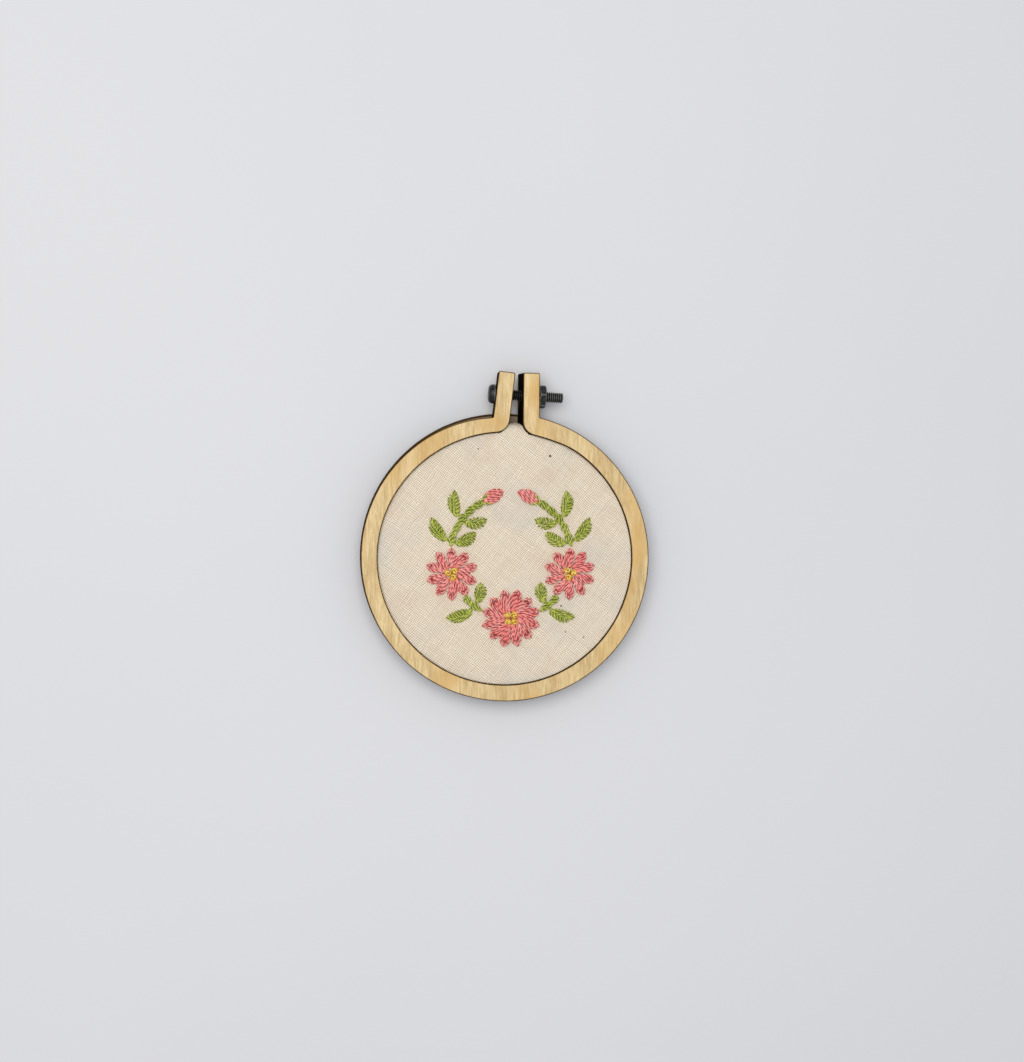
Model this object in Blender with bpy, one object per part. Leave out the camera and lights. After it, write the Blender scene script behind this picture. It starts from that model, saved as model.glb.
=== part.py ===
"""A small plywood embroidery hoop with a stitched garland on its cloth.

Metres, +Z up. The hoop lies on its back. The origin is on the backing
plate's back face, behind the middle of the ring, +Z comes out of the
stitched face and +Y points to the two clamp ears.
"""

import math

import bmesh
import bpy
from mathutils import Matrix, Vector

MM = 0.001

# Plywood: the ring, the plate behind it and the plate under the cloth.
PLY_THICKNESS = 3.2 * MM
BACKING_THICKNESS = 1.5 * MM
INNER_PLATE_THICKNESS = 1.4 * MM
PIECE_GAP = 0.3 * MM
RING_OUTER_RADIUS = 27.5 * MM
OPENING_RADIUS = 24.4 * MM
BACKING_RADIUS = 27.55 * MM
# The backing plate is glued on a little off centre, towards the ears.
BACKING_SHIFT = 0.12 * MM
RING_STEP_DEG = 2.5

# The clamp draws the left arm in, along most of its length at the opening.
# The right arm closes in only beside its ear, and springs out at its side.
LEFT_ARM_PULL = 0.85 * MM
LEFT_ARM_PULL_SPAN_DEG = 85.0
LEFT_ARM_PULL_POWER = 1.6
LEFT_OPENING_PULL = 0.5 * MM
LEFT_OPENING_NEAR_DEG = 20.0
LEFT_OPENING_FAR_DEG = 100.0
RIGHT_ARM_SPREAD = 0.3 * MM
RIGHT_OPENING_SPREAD = 0.1 * MM
RIGHT_OPENING_PULL = 0.4 * MM
RIGHT_OPENING_NEAR_DEG = 12.0
RIGHT_OPENING_FAR_DEG = 30.0

# The two ears, on either side of the split.
LEFT_EAR_TOP = 35.3 * MM
RIGHT_EAR_TOP = 35.5 * MM
EAR_WIDTH = 3.2 * MM
GAP_AT_ROOT = 2.55 * MM
GAP_SHIFT = -0.125 * MM
LEFT_EAR_LEAN_DEG = 2.0
RIGHT_EAR_LEAN_DEG = -4.4
EAR_ROOT_RADIUS = 2.6 * MM
EAR_ROOT_HEIGHT = 26.3 * MM
EAR_CORNER_EASE = 0.25 * MM
EAR_TIP_RADIUS = 0.3 * MM
EAR_TIP_STEPS = 3
EAR_STEPS = 4
ROOT_STEPS = 8
# The right ear has rolled over: its back edge stands nearer to the gap.
ROLLED_EAR_OFFSET = 0.72 * MM
ROLLED_EAR_FADE_FROM = 4.6 * MM
ROLLED_EAR_FADE_TO = 12.0 * MM

# The clamp screw and its nut.
SCREW_RADIUS = 1.0 * MM
SCREW_HOLE_RADIUS = 1.25 * MM
SCREW_SLOPE_DEG = 1.9
SCREW_HEIGHT_ABOVE_CENTRE = 31.18 * MM
SCREW_HEAD_SEAT = -4.83 * MM
SCREW_LENGTH = 13.4 * MM
HEAD_RADIUS = 1.85 * MM
HEAD_THICKNESS = 1.2 * MM
HEAD_FLAT_RADIUS = 1.15 * MM
HEAD_DOME = 0.9 * MM
SLOT_WIDTH = 0.5 * MM
SLOT_DEPTH = 0.6 * MM
SLOT_LENGTH = 1.9 * MM
NUT_SEAT = 4.25 * MM
NUT_THICKNESS = 1.2 * MM
NUT_ACROSS_FLATS = 4.0 * MM
NUT_TURN_DEG = 23.0
NUT_CORNER_EASE = 0.15 * MM
END_CHAMFER = 0.3 * MM

# The cloth, stretched over the inner plate and turned down at its edge.
CLOTH_THICKNESS = 1.0 * MM
CLOTH_FACE_RECESS = 0.5 * MM
CLOTH_EDGE_ROLL = 0.7 * MM
CLOTH_BULGE = 2.1 * MM
CLOTH_BULGE_HALF_WIDTH = 1.42 * MM
CLOTH_BULGE_POWER = 3.0
CLOTH_BULGE_SHIFT = -0.14 * MM
CLOTH_FINE_SPAN_DEG = 9.0
CLOTH_FINE_STEP_DEG = 1.0
CLOTH_STEP_DEG = 4.75
CLOTH_ROLL_STEPS = 3
# How much of the bulge has come at the end of the rolled edge; the rest
# comes down the side.
CLOTH_ROLL_SWELL = 0.55

# The stitched garland: an open wreath, set a little turned on the cloth.
GARLAND_CENTRE = (1.1 * MM, 0.2 * MM)
GARLAND_TURN_DEG = 5.0
GARLAND_RADIUS = 11.8 * MM
STITCH_GAP = 0.3 * MM
KNOT_GAP = 0.2 * MM
STITCH_HEIGHT = 0.55 * MM
STEM_FROM_DEG = -61.0
STEM_SIDE_FROM_DEG = -42.0
STEM_SIDE_TO_DEG = 10.0
STEM_TO_DEG = 60.0
STEM_HALF_WIDTH = 0.75 * MM
CHAIN_LINK_LENGTH = 2.0 * MM
CHAIN_LINK_WAIST = 0.22
CHAIN_STEPS_PER_LINK = 4
MIDDLE_BLOSSOM_RADIUS = 5.6 * MM
SIDE_BLOSSOM_RADIUS = 5.0 * MM
SIDE_BLOSSOM_DEG = -16.0
BLOSSOM_NOTCH = 0.3
BLOSSOM_RINGS = 5
BLOSSOM_STEPS_PER_PETAL = 10
BLOSSOM_MIDDLE_HEIGHT = 0.14 * MM
SIDE_BLOSSOM_TURN_DEG = 18.0
KNOTS_RADIUS_SHARE = 0.27
KNOTS_HEIGHT = 0.6 * MM
KNOTS_RINGS = 3
KNOTS_SEGMENTS = 24
BUD_DEG = 62.5
BUD_LENGTH = 4.6 * MM
BUD_HALF_WIDTH = 1.6 * MM
BUD_FOOT_WIDTH = 0.25
LEAF_HALF_WIDTH = 1.15 * MM
LEAF_TIP_WIDTH = 0.12
LEAF_HEIGHT = 0.5 * MM
LEAF_BOW = 0.12
LEAF_CLEARANCE = 1.15 * MM
LEAF_STEPS = 8
# A raised band's section, from one edge to the other: across and up.
BAND_SECTION = ((-1.0, 0.0), (-0.85, 0.6), (0.0, 1.0), (0.85, 0.6), (1.0, 0.0))

# Each row is one leaf: where it leaves the stem, which side of the stem it
# is on, how long it is and how far it spreads from the stem.
LEAF_COLUMNS = ("at_deg", "side", "length", "spread_deg")
LEAF_ROWS = (
    (-54.0, 1, 4.8 * MM, 50.0),
    (-54.0, -1, 3.6 * MM, 62.0),
    (14.0, 1, 5.0 * MM, 46.0),
    (13.0, -1, 4.2 * MM, 46.0),
    (37.0, 1, 4.8 * MM, 42.0),
    (36.0, -1, 4.0 * MM, 42.0),
)

# Levels, from the surface up.
RING_BACK = BACKING_THICKNESS + PIECE_GAP
RING_FRONT = RING_BACK + PLY_THICKNESS
RING_MIDDLE = (RING_BACK + RING_FRONT) / 2
CLOTH_FACE = RING_FRONT - CLOTH_FACE_RECESS
CLOTH_UNDERSIDE = CLOTH_FACE - CLOTH_THICKNESS
STITCH_BASE = CLOTH_FACE + STITCH_GAP

# Colours as linear values, then roughness and metallic.
PLY_COLOUR = (0.68, 0.50, 0.26, 1.0)
BACKING_COLOUR = (0.42, 0.30, 0.17, 1.0)
CLOTH_COLOUR = (0.70, 0.60, 0.45, 1.0)
STEEL_COLOUR = (0.03, 0.03, 0.032, 1.0)
PINK_COLOUR = (0.73, 0.16, 0.20, 1.0)
GREEN_COLOUR = (0.28, 0.42, 0.03, 1.0)
YELLOW_COLOUR = (0.85, 0.52, 0.03, 1.0)


def clear_scene():
    for item in list(bpy.data.objects):
        bpy.data.objects.remove(item, do_unlink=True)


def make_material(name, colour, roughness, metallic):
    material = bpy.data.materials.new(name)
    material.use_nodes = True
    shader = material.node_tree.nodes["Principled BSDF"]
    shader.inputs["Base Color"].default_value = colour
    shader.inputs["Roughness"].default_value = roughness
    shader.inputs["Metallic"].default_value = metallic
    material.diffuse_color = colour
    return material


def make_object(name, points, faces, material, sharp_deg=35.0):
    """One closed body from its points and faces, shaded smooth."""
    mesh = bpy.data.meshes.new(name)
    mesh.from_pydata([tuple(point) for point in points], [], faces)
    body = bmesh.new()
    body.from_mesh(mesh)
    bmesh.ops.recalc_face_normals(body, faces=body.faces)
    body.to_mesh(mesh)
    body.free()
    mesh.shade_smooth()
    mesh.set_sharp_from_angle(angle=math.radians(sharp_deg))
    mesh.materials.append(material)
    item = bpy.data.objects.new(name, mesh)
    bpy.context.scene.collection.objects.link(item)
    return item


def cut_with(item, name, body, matrix):
    """Cut an object with a closed shape, which is then hidden."""
    mesh = bpy.data.meshes.new(name)
    body.to_mesh(mesh)
    body.free()
    cutter = bpy.data.objects.new(name, mesh)
    bpy.context.scene.collection.objects.link(cutter)
    cutter.matrix_world = matrix
    cutter.hide_render = True
    cutter.display_type = "WIRE"
    cut = item.modifiers.new(name, "BOOLEAN")
    cut.operation = "DIFFERENCE"
    cut.solver = "EXACT"
    cut.object = cutter


def loop_faces(rings, count, closed=False):
    """Quads between rings of points, all with the same count of points."""
    faces = []
    for ring in range(rings if closed else rings - 1):
        here = ring * count
        there = (ring + 1) % rings * count
        for step in range(count):
            after = (step + 1) % count
            faces.append((here + step, here + after, there + after, there + step))
    return faces


def smooth_step(value):
    value = min(1.0, max(0.0, value))
    return value * value * (3 - 2 * value)


def at_turn(turn_deg, radius):
    """The point at an angle from the split, to the right if positive."""
    turn = math.radians(turn_deg)
    return Vector((radius * math.sin(turn), radius * math.cos(turn)))


def ring_outer_radius(turn_deg):
    if turn_deg >= 0:
        return RING_OUTER_RADIUS + RIGHT_ARM_SPREAD * math.sin(math.radians(turn_deg))
    nearness = max(0.0, 1 + turn_deg / LEFT_ARM_PULL_SPAN_DEG)
    return RING_OUTER_RADIUS - LEFT_ARM_PULL * nearness**LEFT_ARM_PULL_POWER


def ring_inner_radius(turn_deg):
    if turn_deg >= 0:
        span = RIGHT_OPENING_FAR_DEG - RIGHT_OPENING_NEAR_DEG
        nearness = smooth_step((RIGHT_OPENING_FAR_DEG - turn_deg) / span)
        spread = RIGHT_OPENING_SPREAD * math.sin(math.radians(turn_deg))
        return OPENING_RADIUS + spread - RIGHT_OPENING_PULL * nearness
    span = LEFT_OPENING_FAR_DEG - LEFT_OPENING_NEAR_DEG
    nearness = smooth_step((LEFT_OPENING_FAR_DEG + turn_deg) / span)
    return OPENING_RADIUS - LEFT_OPENING_PULL * nearness


def ear_pairs(side, lean_deg, ear_top):
    """Pairs of outer and inner points down one ear and round its root."""
    lean = math.radians(lean_deg)
    along = Vector((math.sin(lean), math.cos(lean)))
    across = Vector((math.cos(lean), -math.sin(lean))) * side
    root = Vector((GAP_SHIFT + side * GAP_AT_ROOT / 2, EAR_ROOT_HEIGHT))
    fillet_centre = root + across * EAR_ROOT_RADIUS
    end_turn = math.degrees(math.atan2(fillet_centre.x, fillet_centre.y))
    end_inner = at_turn(end_turn, ring_inner_radius(end_turn))
    fillet_reach = (end_inner - fillet_centre).length

    outer_foot = root + across * EAR_WIDTH
    outer_radius = ring_outer_radius(end_turn)
    junction_rise = (math.sqrt(outer_radius**2 - outer_foot.x**2) - outer_foot.y) / along.y
    junction = outer_foot + along * junction_rise
    junction_turn = math.degrees(math.atan2(junction.x, junction.y))
    side_start = junction + along * EAR_CORNER_EASE
    arc_turn = junction_turn + side * math.degrees(EAR_CORNER_EASE / outer_radius)
    arc_end = at_turn(arc_turn, ring_outer_radius(arc_turn))

    pairs = []
    ear_length = (ear_top - root.y) / along.y
    side_length = (side_start - outer_foot).dot(along)
    for step in range(EAR_TIP_STEPS):
        bend = math.pi / 2 * step / EAR_TIP_STEPS
        inset = across * EAR_TIP_RADIUS * (1 - math.sin(bend))
        reach = ear_length - EAR_TIP_RADIUS * (1 - math.cos(bend))
        pairs.append((outer_foot + along * reach - inset, root + along * reach + inset))
    ear_length -= EAR_TIP_RADIUS
    for step in range(EAR_STEPS):
        share = step / EAR_STEPS
        outer = outer_foot + along * (ear_length + (side_length - ear_length) * share)
        inner = root + along * ear_length * (1 - share)
        pairs.append((outer, inner))
    start_angle = math.atan2(-across.y, -across.x)
    end_angle = math.atan2(end_inner.y - fillet_centre.y, end_inner.x - fillet_centre.x)
    sweep = (end_angle - start_angle + math.pi) % (2 * math.pi) - math.pi
    for step in range(ROOT_STEPS + 1):
        share = step / ROOT_STEPS
        first = side_start.lerp(junction, share)
        second = junction.lerp(arc_end, share)
        outer = first.lerp(second, share)
        angle = start_angle + sweep * share
        reach = EAR_ROOT_RADIUS + (fillet_reach - EAR_ROOT_RADIUS) * share
        inner = fillet_centre + Vector((math.cos(angle), math.sin(angle))) * reach
        pairs.append((outer, inner))
    return pairs, arc_turn, end_turn


def ring_pairs():
    """Pairs from the top of the left ear, round the ring, to the right one."""
    left, left_outer, left_inner = ear_pairs(-1, LEFT_EAR_LEAN_DEG, LEFT_EAR_TOP)
    right, right_outer, right_inner = ear_pairs(1, RIGHT_EAR_LEAN_DEG, RIGHT_EAR_TOP)
    outer_span = 360.0 - right_outer + left_outer
    inner_span = 360.0 - right_inner + left_inner
    steps = round(outer_span / RING_STEP_DEG)
    pairs = list(left)
    for step in range(1, steps):
        share = step / steps
        outer_turn = left_outer - outer_span * share
        inner_turn = left_inner - inner_span * share
        outer_turn += 360.0 if outer_turn < -180.0 else 0.0
        inner_turn += 360.0 if inner_turn < -180.0 else 0.0
        outer = at_turn(outer_turn, ring_outer_radius(outer_turn))
        inner = at_turn(inner_turn, ring_inner_radius(inner_turn))
        pairs.append((outer, inner))
    return pairs + right[::-1]


def roll_slide(point, height):
    """How far the rolled right ear has slid towards the gap at a place."""
    if point.x < 0 or point.y < 0:
        return 0.0
    fade_span = ROLLED_EAR_FADE_TO - ROLLED_EAR_FADE_FROM
    weight = 1 - smooth_step((point.x - ROLLED_EAR_FADE_FROM) / fade_span)
    depth = (RING_FRONT - height) / PLY_THICKNESS
    return ROLLED_EAR_OFFSET * weight * depth


def roll_over(point, height):
    return Vector((point.x - roll_slide(point, height), point.y, height))


def screw_matrix():
    """Place a piece built along +Z on the screw's axis, which runs to +X."""
    slope = math.radians(SCREW_SLOPE_DEG)
    turn = Matrix.Rotation(slope, 4, "Z") @ Matrix.Rotation(math.pi / 2, 4, "Y")
    middle = Matrix.Translation((0, SCREW_HEIGHT_ABOVE_CENTRE, RING_MIDDLE))
    return middle @ turn


def make_ring(ply):
    """The split outer ring with its two ears, bored for the screw."""
    points = []
    for outer, inner in ring_pairs():
        points.append(roll_over(outer, RING_BACK))
        points.append(roll_over(outer, RING_FRONT))
        points.append(roll_over(inner, RING_FRONT))
        points.append(roll_over(inner, RING_BACK))
    corners = 4
    faces = loop_faces(len(points) // corners, corners)
    faces.append(tuple(range(corners)))
    faces.append(tuple(range(len(points) - corners, len(points))))
    ring = make_object("hoop_ring", points, faces, ply)
    drill = bmesh.new()
    bmesh.ops.create_cone(
        drill,
        cap_ends=True,
        segments=24,
        radius1=SCREW_HOLE_RADIUS,
        radius2=SCREW_HOLE_RADIUS,
        depth=4 * EAR_WIDTH,
    )
    cut_with(ring, "screw_hole", drill, screw_matrix())
    return ring


def make_disc(name, radius, bottom, thickness, material, segments=96, shift=0.0):
    points = []
    for level in (bottom, bottom + thickness):
        for step in range(segments):
            flat = at_turn(360.0 * step / segments, radius)
            points.append((flat.x, flat.y + shift, level))
    faces = loop_faces(2, segments)
    faces.append(tuple(range(segments)))
    faces.append(tuple(range(segments, 2 * segments)))
    return make_object(name, points, faces, material)


def cloth_turns():
    """Angles round the cloth, close together where it bulges into the gap."""
    turns = []
    turn = -CLOTH_FINE_SPAN_DEG
    while turn < CLOTH_FINE_SPAN_DEG:
        turns.append(turn)
        turn += CLOTH_FINE_STEP_DEG
    rest = 360.0 - 2 * CLOTH_FINE_SPAN_DEG
    steps = round(rest / CLOTH_STEP_DEG)
    for step in range(steps):
        turn = CLOTH_FINE_SPAN_DEG + rest * step / steps
        turns.append(turn if turn <= 180.0 else turn - 360.0)
    return turns


def cloth_bulge(turn_deg, base_radius, height):
    """How far the turned-down edge swells out between the ears.

    The rolled right ear closes in on it towards the back.
    """
    sideways = at_turn(turn_deg, base_radius)
    if sideways.y < 0:
        return 0.0
    closing = ROLLED_EAR_OFFSET / 2 * (RING_FRONT - height) / PLY_THICKNESS
    off_middle = abs(sideways.x - CLOTH_BULGE_SHIFT + closing)
    away = off_middle / (CLOTH_BULGE_HALF_WIDTH - closing)
    return CLOTH_BULGE * math.exp(-(away**CLOTH_BULGE_POWER))


def cloth_levels():
    """Rings of the cloth, from its face round the edge to its underside.

    Each is a share of the flat face, or else an inset from the edge, then
    its height and the part of the bulge that it takes.
    """
    levels = [(0.5, None, CLOTH_FACE, 0.0), (0.8, None, CLOTH_FACE, 0.0)]
    for step in range(CLOTH_ROLL_STEPS + 1):
        share = step / CLOTH_ROLL_STEPS
        inset = CLOTH_EDGE_ROLL * (1 - math.sin(math.pi / 2 * share))
        height = CLOTH_FACE - CLOTH_EDGE_ROLL * (1 - math.cos(math.pi / 2 * share))
        levels.append((None, inset, height, CLOTH_ROLL_SWELL * share))
    side_top = CLOTH_FACE - CLOTH_EDGE_ROLL
    levels.append((None, 0.0, (side_top + RING_BACK) / 2, (CLOTH_ROLL_SWELL + 1) / 2))
    levels.append((None, 0.0, RING_BACK, 1.0))
    levels.append((None, CLOTH_THICKNESS, RING_BACK, 1.0))
    levels.append((None, CLOTH_THICKNESS, CLOTH_UNDERSIDE, CLOTH_ROLL_SWELL))
    levels.append((0.5, None, CLOTH_UNDERSIDE, 0.0))
    return levels


def make_cloth(cotton):
    """The stretched cloth: its face, its rolled edge and its turned-down side."""
    turns = cloth_turns()
    levels = cloth_levels()
    points = []
    for share, inset, height, swell in levels:
        for turn in turns:
            edge = ring_inner_radius(turn) - PIECE_GAP
            slide = roll_slide(at_turn(turn, edge), height)
            edge -= slide * math.sin(math.radians(turn))
            if share is None:
                radius = edge - inset + cloth_bulge(turn, edge, height) * swell
            else:
                radius = (edge - CLOTH_EDGE_ROLL) * share
            flat = at_turn(turn, radius)
            points.append((flat.x, flat.y, height))
    faces = loop_faces(len(levels), len(turns))
    face_middle = len(points)
    last = face_middle - len(turns)
    points.append((0.0, 0.0, CLOTH_FACE))
    points.append((0.0, 0.0, CLOTH_UNDERSIDE))
    for step in range(len(turns)):
        after = (step + 1) % len(turns)
        faces.append((face_middle, after, step))
        faces.append((face_middle + 1, last + step, last + after))
    return make_object("cloth", points, faces, cotton)


def make_turned(name, profile, segments, matrix, material):
    """A turned piece from radius and height pairs, closed at both ends."""
    points = []
    for radius, height in profile:
        for step in range(segments):
            angle = 2 * math.pi * step / segments
            points.append((radius * math.cos(angle), radius * math.sin(angle), height))
    faces = loop_faces(len(profile), segments)
    faces.append(tuple(range(segments)))
    faces.append(tuple(range(len(points) - segments, len(points))))
    item = make_object(name, points, faces, material)
    item.matrix_world = matrix
    return item


def make_screw(steel):
    """Pan head outside the left ear, with the shank through both ears."""
    dome_steps = 4
    head_top = SCREW_HEAD_SEAT - HEAD_THICKNESS
    profile = [(HEAD_FLAT_RADIUS, head_top)]
    for step in range(1, dome_steps + 1):
        bend = math.pi / 2 * step / dome_steps
        radius = HEAD_FLAT_RADIUS + (HEAD_RADIUS - HEAD_FLAT_RADIUS) * math.sin(bend)
        profile.append((radius, head_top + HEAD_DOME * (1 - math.cos(bend))))
    profile.append((HEAD_RADIUS, SCREW_HEAD_SEAT))
    profile.append((SCREW_RADIUS, SCREW_HEAD_SEAT))
    end = SCREW_HEAD_SEAT + SCREW_LENGTH
    profile.append((SCREW_RADIUS, end - END_CHAMFER))
    profile.append((SCREW_RADIUS - END_CHAMFER, end))
    screw = make_turned("clamp_screw", profile, 28, screw_matrix(), steel)

    cross = bmesh.new()
    middle = Vector((0, 0, head_top + SLOT_DEPTH))
    arm = SLOT_LENGTH / 2
    half = SLOT_WIDTH / 2
    outline = (
        (arm, -half), (arm, half), (half, half), (half, arm), (-half, arm), (-half, half),
        (-arm, half), (-arm, -half), (-half, -half), (-half, -arm), (half, -arm), (half, -half),
    )
    floor = [cross.verts.new(middle + Vector((x, y, 0))) for x, y in outline]
    face = cross.faces.new(floor)
    pulled = bmesh.ops.extrude_face_region(cross, geom=[face])
    moved = [part for part in pulled["geom"] if isinstance(part, bmesh.types.BMVert)]
    bmesh.ops.translate(cross, verts=moved, vec=(0, 0, -2 * SLOT_DEPTH))
    bmesh.ops.recalc_face_normals(cross, faces=cross.faces)
    cut_with(screw, "drive_recess", cross, screw_matrix())
    return screw


def make_nut(steel):
    """A hexagon nut with eased corners, bored clear of the screw."""
    corner_radius = NUT_ACROSS_FLATS / math.sqrt(3)
    flat_radius = NUT_ACROSS_FLATS / 2
    nut_end = NUT_SEAT + NUT_THICKNESS
    levels = (
        (NUT_SEAT, flat_radius),
        (NUT_SEAT + NUT_CORNER_EASE, corner_radius),
        (nut_end - NUT_CORNER_EASE, corner_radius),
        (nut_end, flat_radius),
    )
    segments = 24
    points = []
    for level, reach in levels:
        for step in range(segments):
            angle = 360.0 * step / segments
            off_flat = math.radians((angle + 30.0) % 60.0 - 30.0)
            radius = min(reach, flat_radius / math.cos(off_flat))
            turn = math.radians(angle + NUT_TURN_DEG)
            points.append((radius * math.cos(turn), radius * math.sin(turn), level))
    for level in (nut_end, NUT_SEAT):
        for step in range(segments):
            turn = math.radians(360.0 * step / segments + NUT_TURN_DEG)
            x = SCREW_HOLE_RADIUS * math.cos(turn)
            y = SCREW_HOLE_RADIUS * math.sin(turn)
            points.append((x, y, level))
    faces = loop_faces(len(levels) + 2, segments, closed=True)
    nut = make_object("clamp_nut", points, faces, steel)
    nut.matrix_world = screw_matrix()
    return nut


def on_cloth(x, y):
    """A place in the garland's own frame, moved to its place on the cloth."""
    turn = math.radians(GARLAND_TURN_DEG)
    return Vector((
        GARLAND_CENTRE[0] + x * math.cos(turn) - y * math.sin(turn),
        GARLAND_CENTRE[1] + x * math.sin(turn) + y * math.cos(turn),
    ))


def on_wreath(angle_deg, side, radius=GARLAND_RADIUS):
    """A place on the wreath: the angle is taken from its side, upwards."""
    angle = math.radians(angle_deg)
    return Vector((side * radius * math.cos(angle), radius * math.sin(angle)))


def wreath_direction(angle_deg, side):
    """The way up along the wreath from a place on it."""
    angle = math.radians(angle_deg)
    return Vector((-side * math.sin(angle), math.cos(angle)))


def make_relief(name, middle, outline, crown, rings, segments, base, material):
    """A low raised shape: its outline and height are functions of angle."""
    angles = [2 * math.pi * step / segments for step in range(segments)]
    points = []
    for share in [0.0] + [1 - ring / rings for ring in range(rings)]:
        on_floor = share == 0.0
        for angle in angles:
            radius = outline(angle) * (1.0 if on_floor else share)
            height = base if on_floor else base + crown(share, angle)
            x = middle.x + radius * math.cos(angle)
            y = middle.y + radius * math.sin(angle)
            flat = on_cloth(x, y)
            points.append((flat.x, flat.y, height))
    faces = loop_faces(rings + 1, segments)
    faces.append(tuple(range(segments)))
    top = len(points)
    last = top - segments
    flat = on_cloth(middle.x, middle.y)
    points.append((flat.x, flat.y, base + crown(0.0, 0.0)))
    for step in range(segments):
        faces.append((last + step, last + (step + 1) % segments, top))
    return make_object(name, points, faces, material)


def make_band(name, centre_line, half_width, height, steps, material):
    """A raised band along a line: width and height are functions of share."""
    points = []
    for step in range(steps + 1):
        share = step / steps
        here = centre_line(share)
        ahead = centre_line(min(1.0, share + 0.5 / steps))
        behind = centre_line(max(0.0, share - 0.5 / steps))
        along = (ahead - behind).normalized()
        across = Vector((along.y, -along.x)) * half_width(share)
        for offset, rise in BAND_SECTION:
            flat = here + across * offset
            placed = on_cloth(flat.x, flat.y)
            points.append((placed.x, placed.y, STITCH_BASE + rise * height(share)))
    width = len(BAND_SECTION)
    faces = loop_faces(steps + 1, width)
    faces.append(tuple(range(width)))
    faces.append(tuple(range(len(points) - width, len(points))))
    return make_object(name, points, faces, material)


def make_stem(name, side, from_deg, to_deg, thread):
    """A row of chain stitches along the wreath, as one rippled band."""
    span = math.radians(to_deg - from_deg)
    links = max(1, round(span * GARLAND_RADIUS / CHAIN_LINK_LENGTH))

    def centre_line(share):
        return on_wreath(from_deg + (to_deg - from_deg) * share, side)

    def ripple(share):
        return 1 - CHAIN_LINK_WAIST * (0.5 + 0.5 * math.cos(2 * math.pi * share * links))

    def half_width(share):
        return STEM_HALF_WIDTH * ripple(share)

    def height(share):
        return STITCH_HEIGHT * ripple(share)

    steps = links * CHAIN_STEPS_PER_LINK
    return make_band(name, centre_line, half_width, height, steps, thread)


def make_leaf(name, side, row, thread):
    """An almond leaf that springs from the stem towards the tip."""
    leaf = dict(zip(LEAF_COLUMNS, row))
    root = on_wreath(leaf["at_deg"], side)
    outward = root.normalized() * leaf["side"]
    tangent = wreath_direction(leaf["at_deg"], side)
    spread = math.radians(leaf["spread_deg"])
    along = tangent * math.cos(spread) + outward * math.sin(spread)
    start = root + outward * LEAF_CLEARANCE

    def centre_line(share):
        bow = outward * LEAF_BOW * math.sin(math.pi * share)
        return start + (along * share + bow) * leaf["length"]

    def half_width(share):
        plump = math.sin(math.pi * share)
        return LEAF_HALF_WIDTH * (LEAF_TIP_WIDTH + (1 - LEAF_TIP_WIDTH) * plump)

    def height(share):
        return LEAF_HEIGHT * (1 + math.sin(math.pi * share)) / 2

    return make_band(name, centre_line, half_width, height, LEAF_STEPS, thread)


def make_bud(name, side, thread):
    """A plump closed bud at the tip of one arm of the wreath."""
    start = on_wreath(BUD_DEG, side)
    along = wreath_direction(BUD_DEG, side)

    def centre_line(share):
        return start + along * BUD_LENGTH * share

    def half_width(share):
        plump = math.sin(math.pi * share)
        return BUD_HALF_WIDTH * (BUD_FOOT_WIDTH + (1 - BUD_FOOT_WIDTH) * plump)

    def height(share):
        return STITCH_HEIGHT * (1 + math.sin(math.pi * share)) / 2

    return make_band(name, centre_line, half_width, height, LEAF_STEPS, thread)


def make_blossom(place, middle, radius, petals, turn_deg, pink, yellow):
    """Rounded petals with grooves between, and a knot cluster on top."""
    turn = math.radians(turn_deg)

    def petal_wave(angle):
        return abs(math.cos(petals * (angle - turn) / 2))

    def outline(angle):
        return radius * (1 - BLOSSOM_NOTCH * (1 - math.sqrt(petal_wave(angle))))

    def crown(share, angle):
        swell = math.sin(math.pi * (0.1 + 0.75 * share)) if share else 0.0
        groove = (1 + petal_wave(angle)) / 2
        rise = STITCH_HEIGHT - BLOSSOM_MIDDLE_HEIGHT
        return BLOSSOM_MIDDLE_HEIGHT + rise * swell * groove

    def knot_outline(angle):
        return KNOTS_RADIUS_SHARE * radius * (1 + 0.12 * math.cos(3 * (angle - turn)))

    def knot_crown(share, angle):
        return KNOTS_HEIGHT * math.sqrt(1.02 - share * share)

    steps = BLOSSOM_STEPS_PER_PETAL * petals
    name = "blossom_" + place
    make_relief(name, middle, outline, crown, BLOSSOM_RINGS, steps, STITCH_BASE, pink)
    base = STITCH_BASE + STITCH_HEIGHT + KNOT_GAP
    name = "knots_" + place
    make_relief(name, middle, knot_outline, knot_crown, KNOTS_RINGS, KNOTS_SEGMENTS, base, yellow)


def make_garland(pink, green, yellow):
    """The open wreath: three blossoms, two arms with leaves, and two buds."""
    bottom = Vector((0.0, -GARLAND_RADIUS))
    make_blossom("middle", bottom, MIDDLE_BLOSSOM_RADIUS, 6, -90.0, pink, yellow)
    for place, side in (("left", -1), ("right", 1)):
        middle = on_wreath(SIDE_BLOSSOM_DEG, side)
        turn = 90.0 - side * SIDE_BLOSSOM_TURN_DEG
        make_blossom(place, middle, SIDE_BLOSSOM_RADIUS, 5, turn, pink, yellow)
        make_stem("stem_lower_" + place, side, STEM_FROM_DEG, STEM_SIDE_FROM_DEG, green)
        make_stem("stem_upper_" + place, side, STEM_SIDE_TO_DEG, STEM_TO_DEG, green)
        make_bud("bud_" + place, side, pink)
        for number, row in enumerate(LEAF_ROWS, start=1):
            make_leaf(f"leaf_{place}_{number}", side, row, green)


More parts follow.
